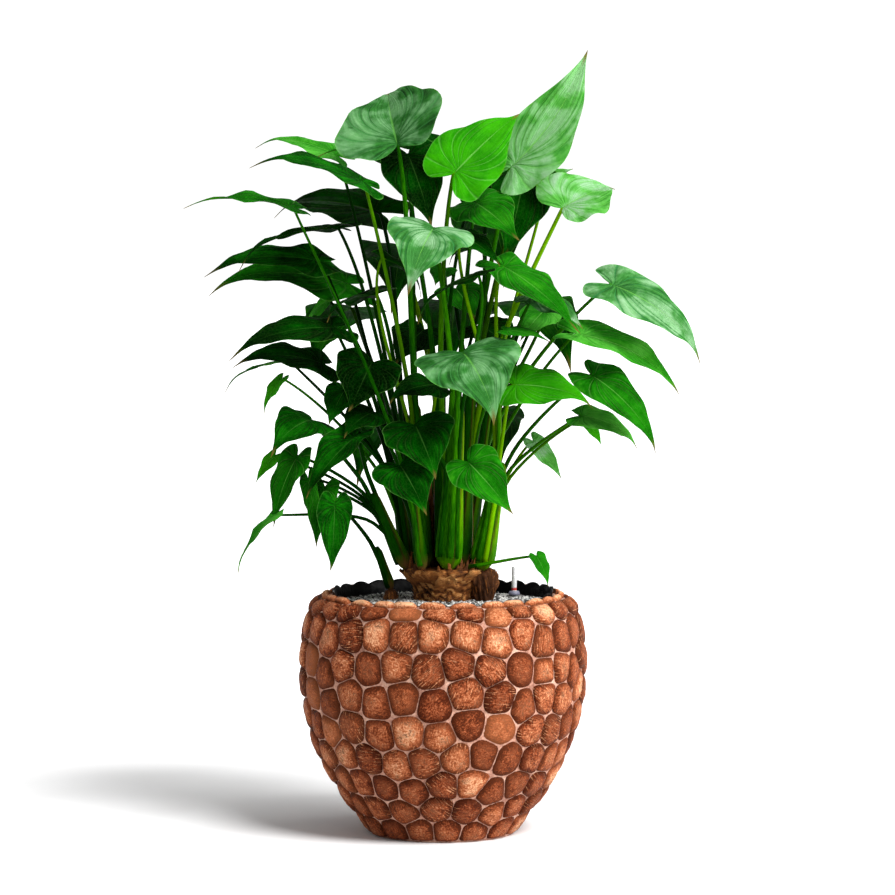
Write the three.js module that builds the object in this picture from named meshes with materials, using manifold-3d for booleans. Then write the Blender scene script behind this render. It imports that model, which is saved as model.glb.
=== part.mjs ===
// A potted hooded dwarf elephant ear: a round planter faced with coconut-shell tiles, a black liner,
// mineral grit, a water gauge, a brown rootstock, and leafy shoots with heart-shaped leaves.
// Millimetres, +Z up, origin at the centre of the planter's foot, front of the plant towards -Y.
import * as THREE from "three";
import { mergeVertices } from "three/addons/utils/BufferGeometryUtils.js";
import Module from "manifold-3d";

const wasm = await Module();
wasm.setup();

// Planter
const POT_PROFILE = [
  [104, 0], [116, 18], [138, 48], [156, 75], [171, 103], [182.5, 130], [190.5, 159], [197, 190],
  [200, 225], [200, 250], [197, 280], [191, 309], [184, 323], [172, 332], [161, 335],
];
const POT_FLOOR = 22;
const TILE_ROWS = 9;
const TILE_WIDTH = 42.5;
const TILE_JITTER = 0.4;
const TILE_ROUNDS = 3;
const TILE_RISE = 7;
const TILE_EDGE_RISE = 4.2;
const TILE_FLAT = 0.78;
const RIM_SCALLOP = 4.5;
const POT_INSIDE = [[155, 328], [154.5, 316], [176, 262], [160, 140], [100, POT_FLOOR]];

// Liner and grit
const LINER_GAP = 0.4;
const LINER_WALL = 2;
const LINER_TOP = 332;
const LINER_SIDES = 24;
const LINER_OUTSIDE = [[POT_FLOOR + LINER_GAP, 97], [80, 126.5], [140, 152.4], [LINER_TOP, 152.4]];
const GRIT_TOP = 322;
const GRIT_CROWN = 5;

// Rootstock
const CROWN_Z = 372;
const STOCK_CENTRE = [3, 0];
const STOCK_RINGS = [
  [286, 24], [302, 35], [316, 41], [326, 42], [338, 42], [350, 47], [361, 55], [368, 59], [CROWN_Z - 0.4, 55],
];
const STOCK_SIDES = 16;
const STOCK_HOLE = 44.5;
const RIGHT_STUMP = { x: 56, y: -18, radius: 20, foot: 300, top: CROWN_Z - 0.4 };
const OFFSET_STOCK = { x: -72, y: 0, radius: 10.5, foot: 288, top: 339.6 };

// Water gauge
const GAUGE = { x: 101, y: 62, tubeRadius: 3.6, bore: 2.7, foot: 100, top: 366 };
const GAUGE_COLLAR = { radius: 8, foot: 325.5, height: 6 };
const GAUGE_FLOAT = { radius: 2.2, foot: 102.4, top: 333 };

// Leaves
const BLADE_THICK = 1;
const SHEATH_OPENS = 0.45;
const STALK_UPRIGHT = 0.6;
const STALK_SIDES = 3;
const SHEATH_SIDES = 6;
const STALK_STEP = 150;
const VIEW_DISTANCE = 5000;
const VIEW_HEIGHT = 820;
// Where a blade of at least a given width is cut into rows and columns.
const GRADES = [
  { width: 90, rows: [0.13, 0.28, 0.46, 0.66, 0.86], columns: [-1, -0.5, 0, 0.5, 1] },
  { width: 51, rows: [0.17, 0.33, 0.52, 0.77], columns: [-1, -0.5, 0, 0.5, 1] },
  { width: 0, rows: [0.22, 0.46, 0.75], columns: [-1, 0, 1] },
];

// Half of a blade's edge, from the stalk round the rear lobe to the tip: share of the length
// along the midrib, and share of half the width.
const BLADE_EDGE = [
  [0, 0], [-0.09, 0.16], [-0.16, 0.42], [-0.14, 0.7], [-0.04, 0.92], [0.12, 1],
  [0.3, 0.93], [0.47, 0.74], [0.63, 0.49], [0.78, 0.24], [0.9, 0.08], [1, 0],
];

// Each shoot: name, foot [x, depth, height], top of its sheath, radius at the foot and at the top.
const SHOOTS = [
  ["shoot_front_centre", [8, -40, CROWN_Z], [20, -52, 600], 19, 9],
  ["shoot_front_right", [54, -30, CROWN_Z], [80, -48, 520], 17, 8],
  ["shoot_front_left", [-28, -40, CROWN_Z], [-40, -68, 470], 10, 6],
  ["shoot_left_low", [-51, -16, CROWN_Z], [-97, -30, 476], 11, 6],
  ["shoot_left_middle", [-46, 10, CROWN_Z], [-70, 12, 520], 11, 6],
  ["shoot_left_high", [-22, -10, CROWN_Z], [-38, -22, 600], 11, 6.5],
  ["shoot_left_back", [-30, 36, CROWN_Z], [-50, 60, 500], 10, 6],
  ["shoot_centre_high", [2, -8, CROWN_Z], [-6, -10, 620], 11, 6.5],
  ["shoot_right_of_centre", [27, -14, CROWN_Z], [38, -24, 620], 11, 6.5],
  ["shoot_centre_back", [-2, 20, CROWN_Z], [-4, 44, 600], 10, 6.5],
  ["shoot_right_high", [34, 12, CROWN_Z], [62, 12, 590], 10, 6.5],
  ["shoot_right_back", [26, 38, CROWN_Z], [58, 62, 540], 10, 6],
  ["shoot_right_low", [54, 4, CROWN_Z], [80, -4, 510], 9, 5],
  ["shoot_back_low", [0, 46, CROWN_Z], [0, 78, 450], 8, 5],
  ["shoot_left_offset", [-72, 0, 340], [-92, -14, 400], 8, 5],
  ["shoot_right_runner", [32, -37, CROWN_Z + 2.5], [48, -66, 379], 3.5, 2.5],
];

// How a blade is bent, as shares of its length: arch lifts the middle of the midrib, fold raises
// both halves, cup lowers the edges, curl drops the tip, sweep bends the midrib sideways; twist is
// the turn of the tip about the midrib in radians.
const SHAPES = {
  flat: { arch: 0.05, fold: 0.1, cup: 0.05, curl: 0.04, sweep: 0, twist: 0 },
  arched: { arch: 0.13, fold: 0.12, cup: 0.06, curl: 0.08, sweep: 0, twist: 0 },
  folded: { arch: 0.06, fold: 0.42, cup: 0.04, curl: 0.04, sweep: 0, twist: 0 },
  hanging: { arch: 0.07, fold: 0.2, cup: 0.06, curl: 0.03, sweep: 0, twist: 0 },
  level: { arch: 0.08, fold: 0.16, cup: 0.1, curl: 0.1, sweep: 0, twist: 0 },
  turned: { arch: 0.08, fold: 0.2, cup: 0.06, curl: 0.06, sweep: 0.05, twist: 0.7 },
};

// Each leaf: shoot, joint of stalk and blade, tip, blade width, direction its upper face looks,
// shape. A joint or tip is [across, up, depth]: across and up as seen from the front in the plane of
// the planter's axis, depth away from the viewer.
const LEAVES = [
  ["shoot_front_centre", [28, 670, -110], [76, 575, -190], 145, [0.05, -0.75, 0.66], "arched"],
  ["shoot_front_centre", [-12, 843, -84], [-48, 756, -174], 115, [0.05, -0.75, 0.65], "arched"],
  ["shoot_front_centre", [45, 878, -20], [105, 827, -110], 85, [-0.2, -0.5, 0.85], "flat"],
  ["shoot_front_centre", [50, 777, -82], [-40, 719, -132], 65, [-0.1, 0.2, 0.9], "level"],
  ["shoot_front_centre", [-38, 569, -100], [-8, 495, -160], 100, [0, -0.85, 0.5], "hanging"],
  ["shoot_front_right", [35, 518, -130], [98, 444, -160], 75, [-0.1, -0.8, 0.6], "hanging"],
  ["shoot_front_right", [98, 625, -66], [210, 602, -96], 80, [0, -0.7, 0.7], "level"],
  ["shoot_front_right", [82, 791, -30], [190, 700, -120], 80, [0.2, -0.5, 0.85], "flat"],
  ["shoot_front_right", [88, 701, -76], [150, 686, -96], 40, [0, -0.3, 1], "flat"],
  ["shoot_front_right", [24, 834, -56], [82, 792, -96], 50, [0, -0.4, 0.9], "flat"],
  ["shoot_front_left", [-59, 513, -120], [-22, 444, -170], 85, [0, -0.8, 0.6], "hanging"],
  ["shoot_front_left", [-120, 554, -60], [-192, 468, -100], 62, [-0.3, -0.6, 0.7], "folded"],
  ["shoot_front_left", [-10, 625, -50], [-76, 604, -90], 70, [0, -0.5, 0.85], "level"],
  ["shoot_front_left", [-96, 587, -36], [-138, 555, -76], 70, [0, -0.5, 0.85], "level"],
  ["shoot_left_low", [-136, 618, -20], [-159, 569, -50], 50, [0, -0.6, 0.7], "hanging"],
  ["shoot_left_low", [-202, 526, -40], [-236, 426, -60], 55, [-0.5, -0.7, 0.5], "hanging"],
  ["shoot_left_low", [-233, 444, -60], [-290, 363, -60], 40, [-0.6, -0.3, 0.7], "turned"],
  ["shoot_left_low", [-164, 483, -50], [-177, 398, -80], 45, [-0.2, -0.9, 0.3], "hanging"],
  ["shoot_left_low", [-187, 495, -56], [-161, 409, -66], 30, [-0.6, -0.7, 0.2], "hanging"],
  ["shoot_left_low", [-233, 527, -20], [-261, 488, -30], 22, [-0.3, -0.8, 0.4], "hanging"],
  ["shoot_left_low", [-182, 576, -30], [-240, 530, -100], 80, [0, -0.7, 0.7], "arched"],
  ["shoot_left_middle", [-165, 654, 0], [-290, 660, -60], 80, [0, -0.55, 0.85], "level"],
  ["shoot_left_middle", [-150, 704, -40], [-298, 669, -110], 78, [0, -0.5, 0.85], "level"],
  ["shoot_left_middle", [-212, 658, 10], [-307, 623, -20], 50, [0, 0.1, 1], "level"],
  ["shoot_left_middle", [-223, 634, -40], [-250, 586, -50], 32, [-0.7, -0.5, 0.3], "hanging"],
  ["shoot_left_middle", [-129, 765, 88], [-324, 768, -12], 98, [0.05, -0.6, 0.8], "level"],
  ["shoot_left_middle", [-168, 796, 16], [-330, 786, -38], 80, [0, -0.5, 0.85], "level"],
  ["shoot_left_high", [-62, 957, -68], [-76, 1034, 68], 155, [-0.3, -0.8, 0.5], "folded", { fold: 0.38 }],
  ["shoot_left_high", [-108, 904, -104], [-265, 939, -134], 95, [0, -0.3, 1], "level"],
  ["shoot_front_left", [-207, 871, -70], [-361, 878, -120], 50, [0, -0.4, 0.95], "turned"],
  ["shoot_left_high", [-50, 921, 18], [-172, 952, 8], 80, [0, -0.15, 1], "level"],
  ["shoot_left_back", [-145, 942, 54], [-259, 964, 84], 70, [0, -0.25, 1], "level"],
  ["shoot_left_back", [-87, 864, 146], [-237, 872, 46], 110, [0.1, 0.5, 0.85], "level"],
  ["shoot_left_back", [-145, 843, 18], [-289, 796, -52], 85, [-0.1, 0.1, 1], "level"],
  ["shoot_left_back", [-158, 743, 60], [-188, 718, 90], 60, [0, -0.6, 0.8], "flat"],
  ["shoot_left_back", [-92, 751, 0], [-164, 720, -64], 84, [0.1, 0.4, 0.9], "level"],
  ["shoot_left_back", [-98, 656, -40], [-129, 587, -70], 95, [0, -0.8, 0.5], "hanging"],
  ["shoot_centre_high", [15, 917, -60], [108, 1003, -10], 108, [-0.2, -0.9, 0.3], "flat"],
  ["shoot_centre_high", [-48, 945, -24], [-14, 843, -54], 88, [0.1, -0.9, 0.3], "hanging"],
  ["shoot_centre_high", [46, 896, 40], [71, 865, 30], 60, [0, -0.7, 0.6], "flat"],
  ["shoot_left_high", [-84, 802, -56], [-26, 750, -76], 50, [0.3, 0.3, 0.8], "arched"],
  ["shoot_centre_high", [52, 826, 20], [6, 796, 0], 50, [0, 0.4, 0.9], "level"],
  ["shoot_right_of_centre", [92, 924, -10], [201, 1092, 30], 101, [-0.25, -0.93, 0.25], "flat", { twist: 0.3, sweep: -0.09 }],
  ["shoot_right_of_centre", [114, 921, 44], [86, 794, 4], 95, [0.1, -0.95, 0.1], "hanging"],
  ["shoot_right_of_centre", [125, 748, -26], [196, 706, -96], 60, [0.1, -0.5, 0.85], "flat"],
  ["shoot_right_of_centre", [166, 870, 2], [240, 900, 72], 112, [-0.15, -0.75, 0.65], "folded", { fold: 0.3 }],
  ["shoot_centre_back", [-43, 951, 60], [10, 969, 90], 80, [0, -0.6, 0.8], "flat"],
  ["shoot_centre_back", [3, 787, 30], [-11, 764, 0], 40, [0, -0.5, 0.8], "flat"],
  ["shoot_centre_back", [18, 759, 72], [46, 717, 32], 70, [0, -0.5, 0.8], "flat"],
  ["shoot_centre_back", [-26, 702, 42], [-67, 654, -8], 80, [0, -0.5, 0.8], "flat"],
  ["shoot_centre_back", [-56, 817, 166], [-70, 731, 299], 120, [0, 0.7, 0.7], "arched"],
  ["shoot_right_high", [142, 896, 68], [181, 926, 78], 50, [-0.2, -0.5, 0.85], "folded"],
  ["shoot_right_high", [142, 729, 40], [108, 687, 0], 60, [0, -0.5, 0.8], "flat"],
  ["shoot_right_high", [130, 718, 56], [175, 725, 96], 50, [0, -0.5, 0.8], "flat"],
  ["shoot_right_high", [54, 707, 86], [96, 672, 36], 80, [0, -0.5, 0.8], "flat"],
  ["shoot_right_high", [60, 860, 110], [90, 770, 250], 115, [0.1, 0.7, 0.7], "arched"],
  ["shoot_right_back", [233, 765, -60], [365, 659, -60], 80, [0.25, -0.72, 0.6], "arched"],
  ["shoot_right_back", [185, 696, -70], [334, 614, -50], 64, [0, -0.5, 0.85], "turned", { fold: 0.3 }],
  ["shoot_right_back", [120, 740, 120], [180, 650, 240], 110, [0.2, 0.7, 0.7], "arched"],
  ["shoot_right_back", [18, 738, 134], [9, 652, 274], 125, [0, 0.7, 0.7], "arched"],
  ["shoot_right_low", [206, 639, -60], [302, 534, -90], 66, [0.25, -0.8, 0.5], "arched"],
  ["shoot_right_low", [191, 582, -50], [274, 540, -60], 50, [0.1, -0.6, 0.8], "arched"],
  ["shoot_right_low", [198, 579, -20], [222, 540, -20], 22, [0.1, -0.8, 0.5], "hanging"],
  ["shoot_right_low", [126, 547, 14], [167, 493, 14], 30, [0.1, -0.8, 0.5], "hanging"],
  ["shoot_back_low", [-80, 580, 120], [-120, 490, 240], 95, [-0.2, 0.7, 0.7], "arched"],
  ["shoot_back_low", [64, 590, 120], [78, 500, 245], 95, [0.1, 0.7, 0.7], "arched"],
  ["shoot_back_low", [-8, 528, 110], [-18, 448, 230], 90, [0, 0.7, 0.7], "arched"],
  ["shoot_left_back", [-126, 732, 122], [-184, 652, 242], 110, [-0.2, 0.7, 0.7], "arched"],
  ["shoot_left_offset", [-150, 461, -80], [-155, 363, -90], 48, [0.1, -0.95, 0.2], "hanging"],
  ["shoot_right_runner", [131, 386, -70], [148, 344, -80], 28, [0.5, -0.7, 0.3], "hanging"],
];

// A share between 0 and 1 drawn from a whole number, the same on every run.
function draw(number) {
  const value = Math.sin(number * 12.9898 + 4.1) * 43758.5453;
  return value - Math.floor(value);
}

function mix(a, b, share) {
  return a + (b - a) * share;
}

// A point as seen from the front, moved to its true place at a depth.
function place([across, up, depth]) {
  const grow = (VIEW_DISTANCE + depth) / VIEW_DISTANCE;
  return new THREE.Vector3(across * grow, depth, VIEW_HEIGHT + (up - VIEW_HEIGHT) * grow);
}

// Closed bodies from triangles

function solid(points, faces) {
  const geometry = new THREE.BufferGeometry();
  const flat = points.flatMap((point) => [point.x, point.y, point.z]);
  geometry.setAttribute("position", new THREE.Float32BufferAttribute(flat, 3));
  geometry.setIndex(faces.flat());
  return solidOf(geometry);
}

function solidOf(geometry) {
  geometry.deleteAttribute("normal");
  geometry.deleteAttribute("uv");
  const merged = mergeVertices(geometry, 1e-3);
  const mesh = new wasm.Mesh({
    numProp: 3,
    vertProperties: new Float32Array(merged.attributes.position.array),
    triVerts: new Uint32Array(merged.index.array),
  });
  return new wasm.Manifold(mesh);
}

function join(bodies) {
  return bodies.reduce((whole, body) => whole.add(body));
}

// Rings of points, each the same count, skinned into a closed body; the first and last ring are
// closed by a flat fan. Rings run counter-clockwise about the direction of travel.
function skin(rings) {
  const count = rings[0].length;
  const points = rings.flat();
  const faces = [];
  for (let ring = 0; ring + 1 < rings.length; ring += 1) {
    for (let i = 0; i < count; i += 1) {
      const a = ring * count + i;
      const b = ring * count + ((i + 1) % count);
      faces.push([a, b, b + count], [a, b + count, a + count]);
    }
  }
  const last = (rings.length - 1) * count;
  for (let i = 1; i + 1 < count; i += 1) {
    faces.push([0, i + 1, i], [last, last + i, last + i + 1]);
  }
  return solid(points, faces);
}

function upright(x, y, rings, sides) {
  return skin(rings.map(([z, radius]) => Array.from({ length: sides }, (_, i) => {
    const angle = (i / sides) * Math.PI * 2;
    return new THREE.Vector3(x + radius * Math.cos(angle), y + radius * Math.sin(angle), z);
  })));
}

// A round stem along points, with a radius at each.
function stem(points, radii, sides) {
  let side = new THREE.Vector3(1, 0, 0);
  const rings = points.map((point, i) => {
    const before = points[Math.max(0, i - 1)];
    const after = points[Math.min(points.length - 1, i + 1)];
    const along = after.clone().sub(before).normalize();
    side = side.clone().addScaledVector(along, -side.dot(along)).normalize();
    const other = along.clone().cross(side);
    return Array.from({ length: sides }, (_, k) => {
      const angle = (k / sides) * Math.PI * 2;
      return point.clone()
        .addScaledVector(side, radii[i] * Math.cos(angle))
        .addScaledVector(other, radii[i] * Math.sin(angle));
    });
  });
  return skin(rings);
}

// Planter

// Distance along the profile and the matching height in a flat plan where tiles keep their form.
function profileSteps() {
  const steps = [{ length: 0, height: 0 }];
  for (let i = 1; i < POT_PROFILE.length; i += 1) {
    const [r0, z0] = POT_PROFILE[i - 1];
    const [r1, z1] = POT_PROFILE[i];
    const length = Math.hypot(r1 - r0, z1 - z0);
    const last = steps[i - 1];
    steps.push({ length: last.length + length, height: last.height + length / ((r0 + r1) / 2) });
  }
  return steps;
}

const POT_STEPS = profileSteps();
const POT_LENGTH = POT_STEPS[POT_STEPS.length - 1].length;
const PLAN_TOP = POT_STEPS[POT_STEPS.length - 1].height;

function profileAt(key, value) {
  let i = 1;
  while (i < POT_STEPS.length - 1 && POT_STEPS[i][key] < value) {
    i += 1;
  }
  const share = (value - POT_STEPS[i - 1][key]) / (POT_STEPS[i][key] - POT_STEPS[i - 1][key]);
  const [r0, z0] = POT_PROFILE[i - 1];
  const [r1, z1] = POT_PROFILE[i];
  const height = mix(POT_STEPS[i - 1].height, POT_STEPS[i].height, share);
  return { i, share, radius: mix(r0, r1, share), z: mix(z0, z1, share), height };
}

function profileNormal(index) {
  const [r0, z0] = POT_PROFILE[Math.max(0, index - 1)];
  const [r1, z1] = POT_PROFILE[Math.min(POT_PROFILE.length - 1, index + 1)];
  const length = Math.hypot(r1 - r0, z1 - z0);
  return [(z1 - z0) / length, -(r1 - r0) / length];
}

// A point of the planter's face, sunk below the crests of its tiles.
function potPoint(angle, height, sunk) {
  const at = profileAt("height", height);
  const low = profileNormal(at.i - 1);
  const high = profileNormal(at.i);
  const radius = at.radius - sunk * mix(low[0], high[0], at.share);
  const z = Math.max(0, at.z - sunk * mix(low[1], high[1], at.share));
  return new THREE.Vector3(radius * Math.cos(angle), radius * Math.sin(angle), height <= 0 ? 0 : z);
}

// Tile centres in rows, shifted by a seeded draw, then moved a few times to the middle of their cell.
function tileCentres() {
  let centres = [];
  for (let row = 0; row < TILE_ROWS; row += 1) {
    const at = profileAt("length", ((row + 0.5) / TILE_ROWS) * POT_LENGTH);
    const count = Math.round((Math.PI * 2 * at.radius) / TILE_WIDTH);
    for (let i = 0; i < count; i += 1) {
      const key = row * 100 + i;
      const turn = (i + (row % 2) * 0.5 + (draw(key) - 0.5) * 2 * TILE_JITTER) / count;
      const rise = ((draw(key + 5000) - 0.5) * 2 * TILE_JITTER * POT_LENGTH) / TILE_ROWS / at.radius;
      centres.push([turn * Math.PI * 2, at.height + rise]);
    }
  }
  for (let round = 0; round < TILE_ROUNDS; round += 1) {
    const before = centres;
    centres = before.map((centre) => middleOf(tileOutline(centre, before)));
  }
  return centres;
}

// The centre of area of a polygon.
function middleOf(polygon) {
  const [ox, oy] = polygon[0];
  let [area, x, y] = [0, 0, 0];
  polygon.forEach(([ax, ay], i) => {
    const [bx, by] = polygon[(i + 1) % polygon.length];
    const part = (ax - ox) * (by - oy) - (bx - ox) * (ay - oy);
    area += part;
    x += (part * (ox + ax + bx)) / 3;
    y += (part * (oy + ay + by)) / 3;
  });
  return [x / area, y / area];
}

// The part of a polygon nearer to one centre than to another.
function nearer(polygon, [ax, ay], [bx, by]) {
  const side = ([x, y]) => (x - (ax + bx) / 2) * (bx - ax) + (y - (ay + by) / 2) * (by - ay);
  const kept = [];
  polygon.forEach((point, i) => {
    const next = polygon[(i + 1) % polygon.length];
    const here = side(point);
    const there = side(next);
    if (here <= 0) {
      kept.push(point);
    }
    if (here < 0 !== there < 0 && here !== 0 && there !== 0) {
      const share = here / (here - there);
      kept.push([mix(point[0], next[0], share), mix(point[1], next[1], share)]);
    }
  });
  return kept;
}

function tileOutline(centre, centres) {
  const reach = 0.7;
  const low = Math.max(0, centre[1] - reach);
  const high = Math.min(PLAN_TOP, centre[1] + reach);
  const left = centre[0] - reach;
  const right = centre[0] + reach;
  let outline = [[left, low], [right, low], [right, high], [left, high]];
  for (const other of centres) {
    for (const shift of [-Math.PI * 2, 0, Math.PI * 2]) {
      const seen = [other[0] + shift, other[1]];
      const gap = Math.hypot(seen[0] - centre[0], seen[1] - centre[1]);
      if (gap > 0 && gap < reach * 2) {
        outline = nearer(outline, centre, seen);
      }
    }
  }
  return outline;
}

// The planter's wall: every tile is a low dome whose edge lies in the grout; the rim and the foot
// run round the ends of the tiles, and one ring after another closes the inside.
function potBody() {
  const points = [];
  const faces = [];
  const rim = [];
  const foot = [];
  const add = (point) => points.push(point) - 1;
  const centres = tileCentres();
  for (const centre of centres) {
    const outline = tileOutline(centre, centres);
    const edge = [];
    outline.forEach((corner, i) => {
      const next = outline[(i + 1) % outline.length];
      edge.push({ corner, index: add(potPoint(corner[0], corner[1], TILE_RISE)) });
      const onTop = corner[1] > PLAN_TOP - 1e-9 && next[1] > PLAN_TOP - 1e-9;
      const onFoot = corner[1] < 1e-9 && next[1] < 1e-9;
      if (onTop) {
        const middle = (corner[0] + next[0]) / 2;
        rim.push({ angle: corner[0], lift: 0, index: edge[edge.length - 1].index });
        const crest = add(potPoint(middle, PLAN_TOP, TILE_RISE - RIM_SCALLOP));
        rim.push({ angle: middle, lift: RIM_SCALLOP, index: crest });
        edge.push({ corner: [middle, PLAN_TOP], index: crest });
      }
      if (onFoot) {
        foot.push({ angle: corner[0], index: edge[edge.length - 1].index });
      }
    });
    const cx = outline.reduce((sum, corner) => sum + corner[0], 0) / outline.length;
    const cy = outline.reduce((sum, corner) => sum + corner[1], 0) / outline.length;
    const apex = add(potPoint(cx, cy, 0));
    const ring = edge.map(({ corner }) => add(potPoint(
      mix(cx, corner[0], TILE_FLAT), mix(cy, corner[1], TILE_FLAT), TILE_RISE - TILE_EDGE_RISE)));
    edge.forEach(({ index }, i) => {
      const j = (i + 1) % edge.length;
      faces.push([index, edge[j].index, ring[j]], [index, ring[j], ring[i]], [ring[i], ring[j], apex]);
    });
  }
  closeInside(rim, add, faces);
  closeFoot(foot, add, faces);
  return solid(points, faces);
}

function aroundOnce(loop) {
  const turned = loop.map((one) => ({ ...one, angle: THREE.MathUtils.euclideanModulo(one.angle, Math.PI * 2) }));
  return turned.sort((a, b) => a.angle - b.angle);
}

function closeInside(rim, add, faces) {
  const loop = aroundOnce(rim);
  let above = loop.map((one) => one.index);
  POT_INSIDE.forEach(([radius, z], step) => {
    const ring = loop.map(({ angle, lift }) => add(new THREE.Vector3(
      radius * Math.cos(angle), radius * Math.sin(angle), z + (step === 0 ? lift : 0))));
    ring.forEach((index, i) => {
      const j = (i + 1) % ring.length;
      faces.push([above[i], above[j], ring[j]], [above[i], ring[j], index]);
    });
    above = ring;
  });
  const floor = add(new THREE.Vector3(0, 0, POT_INSIDE[POT_INSIDE.length - 1][1]));
  above.forEach((index, i) => faces.push([index, above[(i + 1) % above.length], floor]));
}

function closeFoot(foot, add, faces) {
  const loop = aroundOnce(foot);
  const middle = add(new THREE.Vector3(0, 0, 0));
  loop.forEach(({ index }, i) => faces.push([middle, loop[(i + 1) % loop.length].index, index]));
}

// Liner, grit and rootstock

// Rings moved inwards and upwards by a wall thickness.
function inset(rings, wall) {
  return rings.map(([z, radius]) => [z + wall, radius - wall]);
}

function linerBody() {
  const inside = inset(LINER_OUTSIDE, LINER_WALL);
  return upright(0, 0, LINER_OUTSIDE, LINER_SIDES).subtract(upright(0, 0, inside, LINER_SIDES));
}

function gritBody() {
  const rings = inset(LINER_OUTSIDE, LINER_WALL + LINER_GAP).slice(0, -1);
  const radius = rings[rings.length - 1][1];
  rings.push(
    [GRIT_TOP, radius],
    [GRIT_TOP + GRIT_CROWN * 0.6, radius * 0.75],
    [GRIT_TOP + GRIT_CROWN, radius * 0.45],
  );
  const holes = [
    upright(STOCK_CENTRE[0], STOCK_CENTRE[1], [[STOCK_RINGS[0][0] - 0.4, STOCK_HOLE], [400, STOCK_HOLE]], 24),
    stumpHole({ ...RIGHT_STUMP, radius: RIGHT_STUMP.radius * 0.65 }),
    stumpHole(OFFSET_STOCK),
    upright(GAUGE.x, GAUGE.y, [[GAUGE.foot - 0.4, GAUGE.tubeRadius + 0.5], [400, GAUGE.tubeRadius + 0.5]], 12),
  ];
  return holes.reduce((body, hole) => body.subtract(hole), upright(0, 0, rings, LINER_SIDES));
}

function stumpHole({ x, y, radius, foot }) {
  return upright(x, y, [[foot - 0.4, radius + 1], [400, radius + 1]], 12);
}

// A knobbly turned body: each ring's radius varies with a seeded draw.
function knobbly(x, y, rings, sides, rough) {
  return skin(rings.map(([z, radius], row) => Array.from({ length: sides }, (_, i) => {
    const angle = (i / sides) * Math.PI * 2;
    const size = radius * (1 - rough * draw(row * 40 + i + 900));
    return new THREE.Vector3(x + size * Math.cos(angle), y + size * Math.sin(angle), z);
  })));
}

function rootstockBody() {
  const { x, y, radius, foot, top } = RIGHT_STUMP;
  const main = knobbly(STOCK_CENTRE[0], STOCK_CENTRE[1], STOCK_RINGS, STOCK_SIDES, 0.07);
  const stump = knobbly(x, y, [[foot, radius * 0.5], [foot + 28, radius * 0.65], [foot + 46, radius * 0.9], [top - 6, radius], [top, radius * 0.9]], 12, 0.1);
  return main.add(stump);
}

function offsetStockBody() {
  const { x, y, radius, foot, top } = OFFSET_STOCK;
  return knobbly(x, y, [[foot, radius * 0.5], [foot + 15, radius], [top - 5, radius], [top, radius * 0.8]], 10, 0.1);
}

// Water gauge

function gaugeTubeBody() {
  const { x, y, tubeRadius, bore, foot, top } = GAUGE;
  const tube = upright(x, y, [[foot, tubeRadius], [top, tubeRadius]], 12);
  return tube.subtract(upright(x, y, [[foot + 2, bore], [top + 1, bore]], 12));
}

function gaugeFloatBody() {
  return upright(GAUGE.x, GAUGE.y, [[GAUGE_FLOAT.foot, GAUGE_FLOAT.radius], [GAUGE_FLOAT.top, GAUGE_FLOAT.radius]], 10);
}

function gaugeCollarBody() {
  const { radius, foot, height } = GAUGE_COLLAR;
  const hole = GAUGE.tubeRadius + 0.4;
  const rings = [[foot, radius], [foot + height - 1.2, radius], [foot + height, radius - 1.2]];
  return upright(GAUGE.x, GAUGE.y, rings, 16)
    .subtract(upright(GAUGE.x, GAUGE.y, [[foot - 1, hole], [foot + height + 1, hole]], 12));
}

// Leaves

// A smooth curve through evenly spaced points, at a share of its length.
function curveAt(points, share) {
  const last = points.length - 1;
  const position = Math.min(share * last, last - 1e-9);
  const i = Math.floor(position);
  const t = position - i;
  const at = (k) => points[Math.min(last, Math.max(0, k))];
  return [0, 1].map((axis) => {
    const p0 = at(i - 1)[axis];
    const p1 = at(i)[axis];
    const p2 = at(i + 1)[axis];
    const p3 = at(i + 2)[axis];
    const cubic = 3 * (p1 - p2) + p3 - p0;
    return p1 + 0.5 * t * (p2 - p0 + t * (2 * p0 - 5 * p1 + 4 * p2 - p3 + t * cubic));
  });
}

function leafFrame(joint, tip, face) {
  const along = tip.clone().sub(joint);
  const length = along.length();
  along.divideScalar(length);
  const up = face.clone().addScaledVector(along, -face.dot(along)).normalize();
  return { joint, along, up, across: up.clone().cross(along), length };
}

// A point of the blade's middle surface; t runs from the stalk round the edge to the tip and s
// from one edge over the midrib to the other.
function bladePoint(leaf, t, s) {
  const { frame, width, shape } = leaf;
  const [edgeAlong, edgeAcross] = curveAt(BLADE_EDGE, t);
  const reach = Math.abs(s);
  const midrib = t * t;
  const x = midrib + (edgeAlong - midrib) * Math.pow(reach, 1.6);
  const y = edgeAcross * s * (width / 2 / frame.length);
  const held = Math.min(1, Math.max(-0.2, x));
  const tipShare = Math.max(0, (x - 0.7) / 0.3);
  const wave = shape.wave ?? 0.018;
  const ripple = wave * reach * reach * Math.sin(t * 17 + leaf.seed + (s > 0 ? 2 : 0));
  const lift = shape.arch * 4 * held * (1 - held) - shape.curl * tipShare * tipShare
    + shape.fold * Math.abs(y) - (shape.cup * y * y * 4 * frame.length) / width + ripple * edgeAcross;
  const turn = shape.twist * held * held;
  const side = y + 0;
  const away = shape.sweep * 4 * held * (1 - held);
  const crossed = side * Math.cos(turn) - (lift - shape.arch * 4 * held * (1 - held)) * Math.sin(turn);
  const lifted = side * Math.sin(turn) + (lift - shape.arch * 4 * held * (1 - held)) * Math.cos(turn);
  return frame.joint.clone()
    .addScaledVector(frame.along, x * frame.length)
    .addScaledVector(frame.across, (crossed + away) * frame.length)
    .addScaledVector(frame.up, (lifted + shape.arch * 4 * held * (1 - held)) * frame.length);
}

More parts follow.
